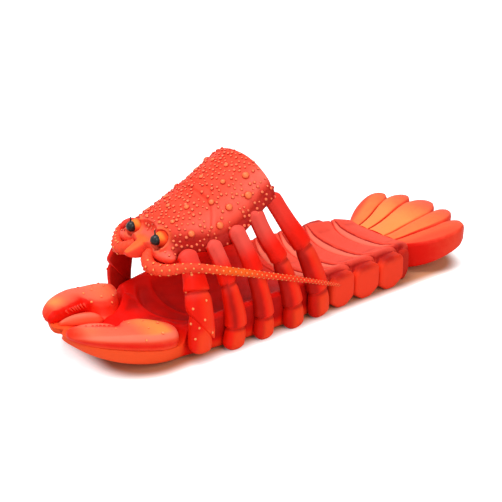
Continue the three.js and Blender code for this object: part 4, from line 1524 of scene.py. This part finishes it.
@dataclass
class Leg:
    """Strap of jointed segments from the carapace down the side of the sole."""

    name: str
    node: str
    path: Spline
    joints: tuple[float, ...]
    width: Profile
    depth: Profile = Profile.even(6.5, 7.8, 9.2, 9.8, 10)
    tilts: tuple[float, ...] = (0.0, 0.0)
    dots: tuple[tuple[float, float], ...] = ()
    # strength of the tint and painted highlight on the shoulder
    dust: float = 0.95
    # whether the flank's painted shade stops short of the edge, leaving a painted highlight there
    edge_highlight: bool = False
    crown: float = 5.0
    toe: float = 5.5
    swell: Profile = Profile(
        (0, 0.83), (0.04, 0.86), (0.12, 0.95), (0.3, 0.985), (0.6, 1.01), (0.86, 1.05), (0.93, 1.055),
        (0.965, 1.03), (0.988, 0.97), (1, 0.88),
    )
    foot: Profile = Profile((0, 0.84), (0.06, 0.88), (0.25, 0.99), (0.5, 1.04), (0.75, 1.02), (1, 0.88))

    def frame(self, u: Array) -> tuple[Array, Array, Array, Array]:
        """Centre, direction, outward and across at places along the path."""
        centre = self.path.spaced(u)
        along = self.path.tangent(u)
        outward = np.tile([1.0, 0.0, 0.0], (len(u), 1))
        outward = unit(outward - along * (outward * along).sum(1, keepdims=True))
        return centre, along, outward, np.cross(along, outward)

    def form(self) -> Form:
        """Solid of the whole strap, cut off flat on the ground."""
        stops = (0.0, *self.joints, 1.0)
        u, size = [], []
        for s in range(len(stops) - 1):
            t = np.concatenate([
                [0, 0.004, 0.012, 0.025, 0.04], np.linspace(0.06, 0.9, 26),
                [0.93, 0.95, 0.965, 0.98, 0.988, 0.996, 1.0],
            ])
            u.append(mix(stops[s], stops[s + 1], t) + (np.arange(len(t)) == 0) * (0.0015 if s else 0.0))
            collar = (0.1 * (1 - t / 0.3)).clip(0) * (s == 0)
            size.append(self.foot(t) if s == len(stops) - 2 else self.swell(t) + collar)
        u, size = np.clip(np.concatenate(u), 0, 1), np.concatenate(size)
        centre, along, outward, across = self.frame(u)
        lean = np.zeros_like(u)
        for joint, tilt in zip(self.joints, self.tilts):
            lean += np.tan(np.radians(tilt)) * hump(u, joint, 0.2)
        length = self.path.lengths[-1]
        ends = np.minimum(u * length / self.crown, (1 - u) * length / self.toe)
        ends = np.sqrt(np.clip(1 - (1 - np.clip(ends, 0, 1)) ** 2, 0.004, 1))[:, None]
        turn = np.linspace(0, 2 * np.pi, 56, endpoint=False)[None, :]
        w = power(np.cos(turn), 0.85) * (self.width(u) * 0.5 * size)[:, None] * ends
        deep = (self.depth(u) * mix(1.0, size, 0.8))[:, None]
        proud = (self.depth(u) * 0.55 * np.minimum(size - 1.0, 0.03))[:, None]
        d = (power(np.sin(turn), 0.85) * 0.5 * ends - 0.5) * deep + proud
        rings = (
            centre[:, None] + across[:, None] * w[..., None] + outward[:, None] * d[..., None]
            + along[:, None] * (lean[:, None] * w)[..., None]
        )
        rings[..., 2] = np.maximum(rings[..., 2], 0)
        return Form.rings(rings)

    def shares(self, form: Form) -> tuple[Array, Array]:
        """Share of the path and signed share of the half width at each vertex."""
        u = np.linspace(0, 1, 240)
        centre, _, _, across = self.frame(u)
        near = np.argmin(np.linalg.norm(form.points[:, None] - centre[None], axis=2), axis=1)
        side = np.einsum("ij,ij->i", form.points - centre[near], across[near])
        return u[near], side / (self.width(u[near]) / 2)

    def paint(self, form: Form) -> dict[Paint, Array]:
        """Masks: tint and painted highlight on shoulder and knee, painted shade on flank and joints, warmer
        foot.
        """
        normal = form.normals()
        u, side = self.shares(form)
        stops = (0.0, *self.joints, 1.0)
        # faces toward the lamps, where highlights are painted
        facing = smooth(normal[:, 0], 0.1, 0.6)
        # painted shade in hollows
        hollow = form.hollows(10, 0.25)
        # painted shade just under each joint's lip
        below = np.max([hump(u, j + 0.018, 0.014) for j in self.joints], axis=0)
        knee = self.joints[0]
        # pale tint and painted highlight just below the knee
        knee_tint_and_highlight = (1 - smooth(u, knee + 0.02, knee + 0.1)) * smooth(u, knee - 0.005, knee + 0.03)
        # painted shade on faces toward the heel
        rear = smooth(normal[:, 1], 0.7, 0.95)
        # painted shade on faces that look inward
        inside = smooth(-normal[:, 0], 0.2, 0.7)
        shoulder = 1 - smooth(u, stops[1] * 0.3, stops[1] * 0.75)
        lower = smooth(u, stops[1] - 0.05, stops[1] + 0.03)
        # painted shade on the toe-side flank; a leg with a highlighted edge gets only a middle stripe of it
        shade_band = hump(side, 0.5, 0.3) if self.edge_highlight else smooth(side, 0.05, 0.6)
        last = smooth(u, self.joints[-1] - 0.02, self.joints[-1] + 0.04)
        flank = shade_band * mix(0.3, 0.8, lower) * (1 - last * (0.9 if self.edge_highlight else 0.45))
        facing = np.maximum(facing, smooth(normal[:, 2], 0.1, 0.5))
        foot = smooth(u, self.joints[-1], self.joints[-1] + 0.08) * facing
        if self.dots:
            flank = flank * 0.2
            below = below * (u < 0.5)
        return {
            Paint.DUST: facing * np.maximum(shoulder * self.dust, knee_tint_and_highlight * 0.35),
            Paint.DEEP: np.max([hollow * 0.9, inside * 0.9, flank, rear * 0.4, below * 0.7], axis=0),
            # orange foot, and orange as painted highlight on the lit side of the lower segments
            Paint.WARM: (
                foot * (1 - smooth(side, 0.3, 0.8)) * 0.95 + 0.6 * facing * hump(side, -0.4, 0.45) * lower
            ),
        }

    def dot_spots(self, form: Form) -> tuple[Array, Array, Array]:
        """Places, aims and half sizes of the dots on the outside."""
        normal = form.normals()
        seen = normal[:, 0] > 0.3
        points, aims = form.points[seen], normal[seen]
        near = [int(np.argmin(np.hypot(points[:, 1] - y, points[:, 2] - z))) for y, z in self.dots]
        return points[near], aims[near], np.tile([1.0, 1.0, 0.75], (len(near), 1))

    def build(self, domes: SeedPlacer) -> None:
        """Makes the strap on both sides, with its dots."""
        form = self.form()
        masks = self.paint(form)
        for side in Side:
            name = f"{self.name}_{side.word}"
            data = painted(form.on(side), name, LEG, masks)
            dress(name, data, [f"{self.node}_{side.word}"])
            if not self.dots:
                continue
            spots, aims, sizes = self.dot_spots(form)
            made = domes.grow(f"{name}_dots", spots * side.flip, aims * side.flip, sizes, CLAW_STUDS)
            dress(f"{name}_dots", made)


LEGS = (
    Leg("walking_leg_1", "leg_1",
        Spline((36.8, -76.9, 75.5), (45, -73.9, 60), (52, -70.7, 38), (55, -69.2, 20), (56, -72.6, 0)),
        (0.388, 0.783), Profile.even(11, 11, 11.8, 14.2, 15.6, 15.2), edge_highlight=True),
    Leg("walking_leg_2", "leg_2",
        Spline((37.2, -59.2, 80.8), (43.5, -54.5, 66), (51, -50.4, 48), (55.5, -45.9, 20),
               (56.5, -47.4, 0)),
        (0.403, 0.791), Profile.even(12, 12.4, 12.8, 13, 14.2, 14.4)),
    Leg("walking_leg_3", "leg_3",
        Spline((36.8, -42.4, 88.5), (43, -37.1, 71), (50.5, -29, 52), (55, -20.5, 20), (56.5, -20.5, 0)),
        (0.422, 0.8), Profile.even(12, 12, 12.4, 13.6, 15.4, 15.4)),
    Leg("walking_leg_4", "leg_4",
        Spline((36.5, -28.5, 96), (43, -17.6, 75), (49.5, -8.1, 57), (54.5, 1.8, 27), (54, 5.4, 0)),
        (0.43, 0.782), Profile.even(12.5, 13, 13.8, 15.4, 16.6, 16.5), dust=0.4),
    Leg("claw_strap", "claw_arm",
        Spline((38, -97, 74.5), (46.2, -95.8, 58), (52.4, -97, 47), (57, -98.4, 27), (55, -99, 5)),
        (0.37, 0.71), Profile.even(13, 14.4, 18.4, 19.4, 17.4, 15.5), Profile.even(9, 10, 10, 10, 10),
        (0.0, -50.0),
        ((-108, 62), (-99.2, 59.6), (-104.7, 49.5), (-95, 43.2), (-104.9, 40.6), (-97.5, 32.1),
         (-109.7, 30.9), (-103, 27.4), (-93.1, 22.1), (-105.5, 20.4)), 0.6),
)


# Carapace


@dataclass
class Carapace:
    """Arched, studded upper with its head, snout and eye sockets."""

    front: float = -108.0
    rear: float = -31.0
    sweep: float = 6.0
    wall: float = 6.0
    heart: tuple[float, float, float] = (0.0, -70.0, 62.0)
    rear_half: float = 37.0
    half_width: Profile = Profile((-109, 23), (-102, 28.5), (-85, 32.5), (-60, 35.5), (-40, 37), (-23, 37))
    edge: Profile = Profile(
        (-109, 67.5), (-97, 67.4), (-85.4, 66.4), (-76, 65.7), (-68, 66.0), (-59, 68.9), (-50, 74.2),
        (-43.5, 79.2), (-37.3, 84.8), (-31, 89), (-26.3, 92.4), (-23, 93.5),
    )
    ridge: Profile = Profile(
        (-109, 78), (-101, 82.5), (-93, 86.5), (-77, 95), (-56, 106.5), (-43, 113.5), (-31, 119.5),
    )
    neck_groove: Profile = Profile(
        (0, -69.5), (12, -68.8), (19, -67.8), (26, -70.2), (31, -74.7), (33, -78.5), (37, -84),
    )
    rear_arc: Profile = Profile((0, -64.4), (8, -63.2), (14, -62.4), (22, -64.6))
    front_arc: Profile = Profile((0, -73.5), (10, -72.3), (15, -71.8), (22, -73.2))
    socket: tuple[float, float, float] = (16.0, -105.6, 75.6)
    socket_radius: float = 7.0
    beak_top: Profile = Profile(
        (-121.3, 65.8), (-119.6, 66.8), (-115, 69), (-109, 71.8), (-103, 74.6), (-97, 79),
    )
    beak_bottom: Profile = Profile(
        (-121.3, 63.8), (-119.6, 62.2), (-115, 60.4), (-109, 60), (-103, 60.8), (-97, 63),
    )
    beak_width: Profile = Profile(
        (-121.3, 3.4), (-119.6, 5.4), (-115, 8), (-109, 11), (-103, 15.5), (-97, 21),
    )
    knobs: tuple[tuple[float, float, float], ...] = (
        (8.0, -45.7, 1.9), (16.7, -54.2, 2.1), (23.3, -40.1, 2.7), (30.7, -44.2, 2.9), (28.5, -58.1, 2.7),
        (21.6, -66.8, 2.2), (31.1, -67.3, 2.8), (27.5, -86.9, 2.6), (12.9, -81.4, 2.1), (14.8, -93.7, 1.8),
        (8.2, -99.5, 1.6),
    )
    middle_knobs: tuple[tuple[float, float], ...] = ((-60.4, 2.0), (-87.4, 2.0))

    def surface(self, u: Any, v: Any) -> Array:
        """Outside of the shell, u from head to rear and v from side to side."""
        u, v = np.broadcast_arrays(np.asarray(u, float), np.asarray(v, float))
        c = np.cos(np.pi * v)
        along = mix(self.front, self.rear, u)
        y = along + self.sweep * c * c * smooth(u, 0.3, 1)
        x = self.half_width(y) * power(c, 2 / 2.4)
        edge = self.edge(y)
        z = edge + (self.ridge(along) - edge) * np.sin(np.pi * v) ** (2 / 1.6)
        return np.stack([x, y, z], -1)

    def outward(self, u: Any, v: Any) -> Array:
        """Unit normal of the outside."""
        step = 0.01
        a, b = (self.surface(np.clip(u + s, 0, 1), v) for s in (-step, step))
        c, d = (self.surface(u, np.clip(v + s, 0.002, 0.998)) for s in (-step, step))
        return unit(np.cross(b - a, d - c))

    def shell(self) -> Form:
        """Arch of even thickness with rounded borders."""
        u = crowded(110)[:, None]
        v = crowded(150)[None, :]
        skin, normal = self.surface(u, v), self.outward(u, v)
        rear = np.clip((1 - u) / 0.04, 0, 1)
        side = np.clip(np.minimum(v, 1 - v) / 0.032, 0, 1)
        thin = np.sqrt(np.clip(1 - (1 - np.minimum(rear, side)) ** 2, 0.02, 1))[..., None]
        upper, lower = (skin - normal * self.wall * (0.5 + s * thin) for s in (-0.5, 0.5))
        return Form.sheets(upper, lower)

    def beak(self) -> Form:
        """Blunt wedge between the eyes, with steep sides and a thin lip below."""
        y = np.concatenate([np.linspace(-97, -120.3, 44), [-120.8, -121.1, -121.3]])[:, None]
        turn = np.linspace(0, 2 * np.pi, 48, endpoint=False)[None]
        top, bottom, width = self.beak_top(y), self.beak_bottom(y), self.beak_width(y)
        lip = 1 + 0.16 * hump(np.sin(turn), -0.75, 0.25) * smooth(-y, 108, 113)
        x = power(np.cos(turn), 0.62) * width / 2 * lip
        z = (top + bottom) / 2 + power(np.sin(turn), 0.72) * (top - bottom) / 2
        return Form.rings(np.stack([x, y + 0 * turn, z], -1))

    def whole(self) -> Form:
        """Shell scooped out round the eyes, with the face below and the beak between."""
        face = Form.ball((0, -102, 69.9), (27, 7.5, 7.6), 48)
        scoop = [Form.ball((0, -112, 80), (17, 12, 9), 48)]
        hollow = (self.socket_radius,) * 3
        scoop += [Form.ball((s * self.socket[0], *self.socket[1:]), hollow, 40) for s in (1, -1)]
        cheeks = [Form.ball((s * 21, -104, 66.3), (11.5, 6.5, 4.2), 32) for s in (1, -1)]
        return fused([self.shell(), face, *cheeks], 0.62, 3, scoop, [self.beak()])

    def carve(self, form: Form) -> Form:
        """Grooves, fringe and rolled rims, pressed into the joined skin."""
        points, normal = form.points, form.normals()
        x, y, z = points.T
        side = np.abs(x)
        outer = self.outside(form, 0.0, 0.35)
        low = z - self.edge(y)
        behind = 1 - smooth(-y, 96, 102)
        neck = y - self.neck_groove(side)
        rise = -0.55 * hump(neck, 0, 0.65) + 0.35 * hump(neck, 2.6, 2.0) + 0.1 * hump(neck, -1.6, 0.9)
        rise -= 0.4 * hump(y, self.rear_arc(side), 0.7) * (1 - smooth(side, 15, 21))
        rise -= 0.3 * hump(y, self.front_arc(side), 0.7) * (1 - smooth(side, 17, 23))
        rise -= 0.35 * hump(low, 8.6, 1.3) * behind
        rise += 0.5 * hump(low, 4.4, 3.0) * behind
        back = self.rear_gap(side, y)
        rise += 0.4 * hump(back, 3.5, 3.0) - 0.2 * hump(back, 8.5, 1.8)
        brim = hump(self.socket_gap(points), self.socket_radius + 1.0, 1.0)
        rise += 0.5 * brim * smooth(normal[:, 2], 0.0, 0.4)
        form.points = points + normal * (rise * outer)[:, None]
        return form

    def outside(self, form: Form, low: float, high: float) -> Array:
        """1 where the skin looks away from the heart of the shell, 0 where it looks inward."""
        away = unit(form.points - np.array(self.heart))
        return smooth(np.einsum("ij,ij->i", form.normals(), away), low, high)

    def rear_gap(self, side: Array, y: Array) -> Array:
        """Distance ahead of the rear border."""
        return self.rear + self.sweep * (side / self.rear_half) ** 2 - y

    def socket_gap(self, points: Array) -> Array:
        """Distance from the centre of the nearer eye socket."""
        near = points.copy()
        near[:, 0] = np.abs(near[:, 0])
        return np.linalg.norm(near - np.array(self.socket), axis=1)

    def paint(self, form: Form) -> dict[Paint, Array]:
        """Masks: orange beak and brows, deep red fringe with painted shade, painted shade in sockets and
        inside, painted highlight on flanks.
        """
        x, y, z = form.points.T
        side = np.abs(x)
        normal = form.normals()
        outer = self.outside(form, -0.05, 0.3)
        up = smooth(normal[:, 2], 0.25, 0.7)
        gap = self.socket_gap(form.points)
        # socket bowl: orange on upward faces, painted shade on faces that look down
        bowl = 1 - smooth(gap, self.socket_radius + 0.1, self.socket_radius + 1.0)
        beak_half = self.beak_width(y) / 2
        beak = smooth(-y, 103, 108) * (1 - smooth(side, beak_half + 0.6, beak_half + 2.0))
        wall = beak * (1 - up) * smooth(z, 60.5, 62.5)
        low = z - self.edge(y)
        # lower edge: deep red paint and painted shade
        fringe = (1 - smooth(low, 7.0, 17.0)) * (1 - smooth(-y, 98, 106))
        scoop = smooth(-y, 97, 100) * (1 - smooth(side, 11, 15))
        # painted shade in hollows and along the neck groove
        hollow = form.hollows(18, 0.4) * 0.4
        groove_shade = np.maximum(hump(y, self.neck_groove(side), 0.7) * 0.35, hollow)
        brow = hump(gap, self.socket_radius + 1.5, 1.3) * up
        return {
            Paint.WARM: np.max([
                beak * up * 0.75, brow * 0.5, bowl * up * 0.2, beak * (1 - smooth(z, 60.5, 62)) * 0.6,
            ], axis=0),
            # painted shade also on the inside of the shell
            Paint.DEEP: np.max([
                fringe * 0.9 * outer, (1 - outer) * (1 - beak) * 0.6, groove_shade * outer * (1 - beak),
                bowl * (1 - up) * 0.5,
            ], axis=0) * (1 - wall) * (1 - scoop),
            # painted highlight on the upper flanks and the front
            Paint.DUST: np.maximum(
                smooth(side, 17, 31) * smooth(low, 9, 16) * 0.75, 0.5 * smooth(-y, 97, 103) * (1 - beak),
            ) * outer * up,
        }

    def stud_density(self, form: Form) -> Array:
        """How thickly studs lie: none on the beak, in the sockets, inside or on knobs."""
        x, y, z = form.points.T
        side = np.abs(x)
        outer = self.outside(form, 0.25, 0.45)
        low = z - self.edge(y)
        back = self.rear_gap(side, y)
        thick = np.maximum(smooth(-y, 66, 80), smooth(z, 88, 104))
        density = mix(0.7, 1.0, thick) * smooth(back, 0.6, 2.0)
        density = np.maximum(density, 1 - smooth(low, 5, 9)) * smooth(low, 0.4, 1.4)
        for sx, sy, radius in self.all_knobs():
            density = density * smooth(np.hypot(x - sx, y - sy), radius + 0.3, radius + 1.3)
        density = density * smooth(self.socket_gap(form.points), 8.0, 9.2)
        front = smooth(-y, 100, 103) * (1 - smooth(side, 20, 23))
        return density * outer * (1 - front) * (1 - 0.8 * hump(y, self.neck_groove(side), 0.9))

    def all_knobs(self) -> list[tuple[float, float, float]]:
        """Places across and along, and radii, of the large knobs."""
        pairs = [(sign * x, y, r) for x, y, r in self.knobs for sign in (1, -1)]
        return pairs + [(0.0, y, r) for y, r in self.middle_knobs]

    def knob_spots(self, form: Form) -> tuple[Array, Array, Array]:
        """Places, aims and half sizes of the large knobs on the skin."""
        normal = form.normals()
        upward = normal[:, 2] > 0.05
        points, normal = form.points[upward], normal[upward]
        spots, aims, sizes = [], [], []
        for x, y, radius in self.all_knobs():
            gap = np.hypot(points[:, 0] - x, points[:, 1] - y)
            near = np.argsort(gap)[:12]
            best = near[np.argmax(points[near, 2])]
            spots.append(points[best])
            aims.append(normal[best])
            sizes.append((radius, radius, radius * 0.78))
        return np.array(spots), np.array(aims), np.array(sizes)

    def build(self, scatter: StudScatter, domes: SeedPlacer) -> None:
        """Makes the upper with its studs and knobs."""
        form = self.carve(self.whole())
        data = painted(form, "carapace_shell", SHELL, self.paint(form))
        dress("carapace_shell", data, ["carapace"])
        ground = data.copy()
        store(ground, "studs", self.stud_density(form))
        made = scatter.run(
            ground, "carapace_studs", Spacing=0.0029, Density=330000.0, Smallest=0.00075,
            Largest=0.00132, Rise=0.9, Seed=11, Material=SHELL_STUDS.material(),
        )
        dress("carapace_studs", made)
        made = domes.grow("carapace_knobs", *self.knob_spots(form), SHELL_KNOBS)
        dress("carapace_knobs", made)


@dataclass
class Eyes:
    """Beads on short red stalks, orange on top as painted light, each with a small pin on top."""

    centre: tuple[float, float, float] = (15.3, -106.8, 75.5)
    radius: float = 3.6

    def bead(self) -> Form:
        """Ball with its pin."""
        ball = Form.ball(self.centre, (self.radius,) * 3, 40)
        height = np.array([2.4, 3.0, 4.4, 5.6, 6.4, 6.9, 7.1])
        girth = np.array([0.7, 0.62, 0.55, 0.5, 0.45, 0.34, 0.1])
        turn = np.linspace(0, 2 * np.pi, 14, endpoint=False)
        rings = np.stack([
            self.centre[0] + girth[:, None] * np.cos(turn),
            self.centre[1] - 0.4 + girth[:, None] * np.sin(turn),
            self.centre[2] + height[:, None] + 0 * turn,
        ], -1)
        return Form.together([ball, Form.rings(rings)])

    def stalk(self) -> Form:
        """Fat cone from the socket to the bead, with a soft collar."""
        t = np.linspace(0, 1, 24)
        route = Spline((14.6, -100.2, 72.8), (14.8, -102, 73.6), (15.1, -104, 74.6), self.centre).at(t)
        girth = Profile((0, 7.2), (0.33, 6.6), (0.66, 5.3), (0.86, 3.9), (1, 2.4))(t)
        turn = np.linspace(0, 2 * np.pi, 36, endpoint=False)[None]
        rings = np.stack([
            route[:, :1] + girth[:, None] * np.cos(turn), route[:, 1:2] + 0 * turn,
            route[:, 2:] + girth[:, None] * np.sin(turn),
        ], -1)
        return Form.rings(rings)

    def build(self) -> None:
        """Makes both eyes."""
        bead, stalk = self.bead(), self.stalk()
        # painted light on the stalks: orange top where light falls, painted shade underneath
        shade = {
            Paint.DEEP: (1 - smooth(stalk.points[:, 2], 71.0, 74.5)) * 0.9,
            Paint.WARM: smooth(stalk.points[:, 2], 74.5, 78) * smooth(-stalk.points[:, 1], 101.5, 104.5),
        }
        for side in Side:
            data = painted(bead.on(side), f"bead_{side.word}", EYE)
            dress(f"bead_{side.word}", data, [f"eye_{side.word}"])
            data = painted(stalk.on(side), f"stalk_{side.word}", STALK, shade)
            dress(f"stalk_{side.word}", data, [f"eyestalk_{side.word}"])


@dataclass
class Feelers:
    """Long ringed antennae that sweep from beside the snout back along the legs."""

    route: Spline = Spline(
        (9.5, -107.5, 65), (13, -112.4, 62.8), (18.5, -114.1, 60.6), (25, -112.6, 60.0), (32, -108.8, 60.7),
        (40, -102.5, 63.2), (46.5, -95, 63.5), (51.3, -84, 61), (54.4, -68, 56.2), (56.2, -49, 49.5),
        (57.3, -27, 41.6), (57.2, -5, 33), (55, 21, 22),
    )
    girth: Profile = Profile(
        (0, 3.8), (0.05, 4.3), (0.1, 4.2), (0.15, 3.7), (0.2, 3.35), (0.27, 3.0), (0.36, 2.7), (0.48, 2.4),
        (0.6, 2.1), (0.74, 1.75), (0.87, 1.3), (0.95, 0.9), (1, 0.6),
    )
    rows: tuple[float, ...] = (72.0, 16.0, -38.0)

    def line(self, side: Side) -> bpy.types.Mesh:
        """Line of points that carries the thickness and the masks of the tube."""
        u = np.concatenate([np.linspace(0, 0.985, 380), 1 - 0.015 * (1 - np.linspace(0, 1, 14)[1:]) ** 2])
        close = np.sqrt(np.clip(1 - np.clip((u - 0.985) / 0.015, 0, 1) ** 2, 0.004, 1))
        points = self.route.spaced(u) * side.flip
        data = bpy.data.meshes.new("line")
        data.from_pydata((points * MM).tolist(), [(i, i + 1) for i in range(len(u) - 1)], [])
        masks = {
            "girth": self.girth(u) * close * MM,
            "warm": 0.5 * hump(u, 0.44, 0.09),
            "deep": 0.35 * hump(u, 0.27, 0.06) + 0.3 * smooth(u, 0.88, 1.0),
            "dust": 0.4 * (1 - smooth(u, 0.25, 0.42)),
        }
        for key, values in masks.items():
            store(data, key, values)
        return data

    def stud_spots(self) -> tuple[Array, Array, Array]:
        """Places, aims and half sizes of the studs, in rows along the tube."""
        spots, aims, sizes = [], [], []
        length = self.route.lengths[-1]
        for row, angle in enumerate(self.rows):
            u = 0.07 + 0.012 * (row % 2)
            while u < 0.985:
                girth = float(self.girth(u))
                centre, along = self.route.spaced(u)[0], self.route.tangent(u)[0]
                up = np.array([0.0, 0.0, 1.0]) - along * along[2]
                up /= np.linalg.norm(up)
                away = np.cross(along, up)
                away *= np.sign(away @ np.array([1.0, -0.6, 0.0]))
                aim = up * np.sin(np.radians(angle)) + away * np.cos(np.radians(angle))
                spots.append(centre + aim * girth * 0.97)
                aims.append(aim)
                size = 0.30 + 0.18 * girth
                sizes.append((size, size, size * 0.9))
                u += (2.2 + 0.8 * girth) / length
        return np.array(spots), np.array(aims), np.array(sizes)

    def build(self, tube: FeelerTube, domes: SeedPlacer) -> None:
        """Makes both antennae."""
        spots, aims, sizes = self.stud_spots()
        for side in Side:
            name = f"feeler_{side.word}"
            made = tube.run(self.line(side), name, Material=FEELER.material())
            dress(name, made, [f"antenna_{side.word}"])
            made = domes.grow(f"{name}_studs", spots * side.flip, aims * side.flip, sizes, FEELER_STUDS)
            dress(f"{name}_studs", made)


# Studio


@dataclass
class Studio:
    """Camera, pale floor and soft lamps.

    The floor carries a painted brown shadow, and holds back its glow, where it meets the shoe:
    within shadow_box_round of a box of half size shadow_box, whose middle is at shadow_box_y.
    fill is the world's light on everything.
    """

    eye: Vector = field(default_factory=lambda: Vector((0.47866, -0.38399, 0.29118)))
    target: Vector = field(default_factory=lambda: Vector((-0.00352, -0.01549, 0.03854)))
    lens: float = 64.62
    sensor: float = 36.0
    # box round the footprint where the floor's painted shadow lies
    shadow_box: tuple[float, float] = (0.018, 0.128)
    shadow_box_y: float = 0.008
    shadow_box_round: float = 0.030
    fill: float = 0.36

    def camera(self) -> None:
        """Camera at the photograph's viewing angle."""
        data = bpy.data.cameras.new("camera")
        data.lens = self.lens
        data.sensor_width = self.sensor
        data.clip_start = 0.01
        made = bpy.data.objects.new("camera", data)
        made.location = self.eye
        made.rotation_euler = (self.target - self.eye).to_track_quat("-Z", "Y").to_euler()
        bpy.context.scene.collection.objects.link(made)
        bpy.context.scene.camera = made

    def lamp(self, name: str, place: Sequence[float], size: float, power_w: float, tint: Colour) -> None:
        """Square soft lamp that faces the sandal."""
        data = bpy.data.lights.new(name, "AREA")
        data.size = size
        data.energy = power_w
        data.color = tint
        made = bpy.data.objects.new(name, data)
        made.location = Vector(place)
        made.rotation_euler = (Vector((0, -0.01, 0.04)) - made.location).to_track_quat("-Z", "Y").to_euler()
        bpy.context.scene.collection.objects.link(made)

    def floor(self) -> None:
        """Large pale floor that keeps the sandal's shadow, with a painted brown shadow round its footprint.
        """
        data = bpy.data.meshes.new("floor")
        reach = 6.0
        corners = [(-reach, -reach, 0), (reach, -reach, 0), (reach, reach, 0), (-reach, reach, 0)]
        data.from_pydata(corners, [], [(0, 1, 2, 3)])
        net = Net("floor_paper")
        place = net.place()
        tone = net.noise(place, 30.0, 2.0)
        paper = net.blend((0.82, 0.82, 0.82), (0.86, 0.86, 0.855), tone.step(0.35, 0.65))
        rays = net.node("ShaderNodeLightPath")
        seen = Wire(net, rays.outputs["Is Camera Ray"])
        apart = net.node("ShaderNodeSeparateXYZ", {}, {"Vector": place})
        beside = (abs(Wire(net, apart.outputs["X"])) - self.shadow_box[0]).held(0, reach)
        before = (abs(Wire(net, apart.outputs["Y"]) - self.shadow_box_y) - self.shadow_box[1]).held(0, reach)
        gap = (beside * beside + before * before).root() - self.shadow_box_round
        # painted shadow: brown floor colour round the sandal's footprint
        base = net.blend((0.62, 0.30, 0.16), paper, gap.step(-0.004, 0.011))
        # camera-only glow that whitens the floor, held back round the footprint, which darkens the floor
        # there as painted shadow
        glow = net.blend((0.02, 0.01, 0.005), (0.74, 0.74, 0.74), gap.step(-0.004, 0.013))
        glow = net.blend(glow, (1.0, 1.0, 1.0), gap.step(0.03, 0.35))
        net.put(net.shader.inputs["Emission Color"], net.blend((0.0, 0.0, 0.0), glow, seen))
        net.put(net.shader.inputs["Emission Strength"], 1.0)
        data.materials.append(net.finish(base=base, roughness=0.9, gloss=0.1))
        made = bpy.data.objects.new("floor", data)
        bpy.context.scene.collection.objects.link(made)

    def world(self) -> None:
        """White to the camera and in reflections, a soft fill for everything else."""
        scene = bpy.context.scene
        scene.world = bpy.data.worlds.new("studio")
        scene.world.use_nodes = True
        tree = scene.world.node_tree
        tree.nodes.clear()
        rays = tree.nodes.new("ShaderNodeLightPath")
        first, second = (tree.nodes.new("ShaderNodeMath") for _ in range(2))
        first.operation = second.operation = "MAXIMUM"
        tree.links.new(rays.outputs["Is Camera Ray"], first.inputs[0])
        tree.links.new(rays.outputs["Is Glossy Ray"], first.inputs[1])
        tree.links.new(first.outputs[0], second.inputs[0])
        tree.links.new(rays.outputs["Is Transmission Ray"], second.inputs[1])
        strength = tree.nodes.new("ShaderNodeMapRange")
        tree.links.new(second.outputs[0], strength.inputs["Value"])
        strength.inputs["To Min"].default_value = self.fill
        strength.inputs["To Max"].default_value = 1.0
        shade = tree.nodes.new("ShaderNodeBackground")
        shade.inputs["Color"].default_value = (1, 1, 1, 1)
        tree.links.new(strength.outputs[0], shade.inputs["Strength"])
        output = tree.nodes.new("ShaderNodeOutputWorld")
        tree.links.new(shade.outputs[0], output.inputs["Surface"])

    def build(self) -> None:
        """Makes the whole studio."""
        self.camera()
        self.floor()
        self.world()
        self.lamp("softbox_top", (-0.10, -0.25, 1.0), 0.6, 7.2, (1.0, 1.0, 1.0))
        self.lamp("softbox_near", (0.85, -0.15, 0.6), 0.5, 3.6, (1.0, 0.99, 0.98))
        self.lamp("softbox_toe", (0.1, -0.95, 0.6), 0.5, 0.9, (1.0, 1.0, 1.0))
        bpy.context.scene.view_settings.view_transform = "Standard"


def main() -> None:
    """Builds the sandal round the frame, class by class."""
    logging.basicConfig(level=logging.INFO, format="%(name)s %(message)s")
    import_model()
    Studio().build()
    domes, teeth, bars = (SeedPlacer(seed) for seed in (Seed.DOME, Seed.TOOTH, Seed.BAR))
    scatter = StudScatter()
    sole = Sole()
    sole.build(bars)
    Heel(sole).build()
    TailFan().build()
    Claw(sole).build(scatter, teeth)
    for leg in LEGS:
        leg.build(domes)
    Carapace().build(scatter, domes)
    Eyes().build()
    Feelers().build(FeelerTube(), domes)


if __name__ == "__main__":
    main()
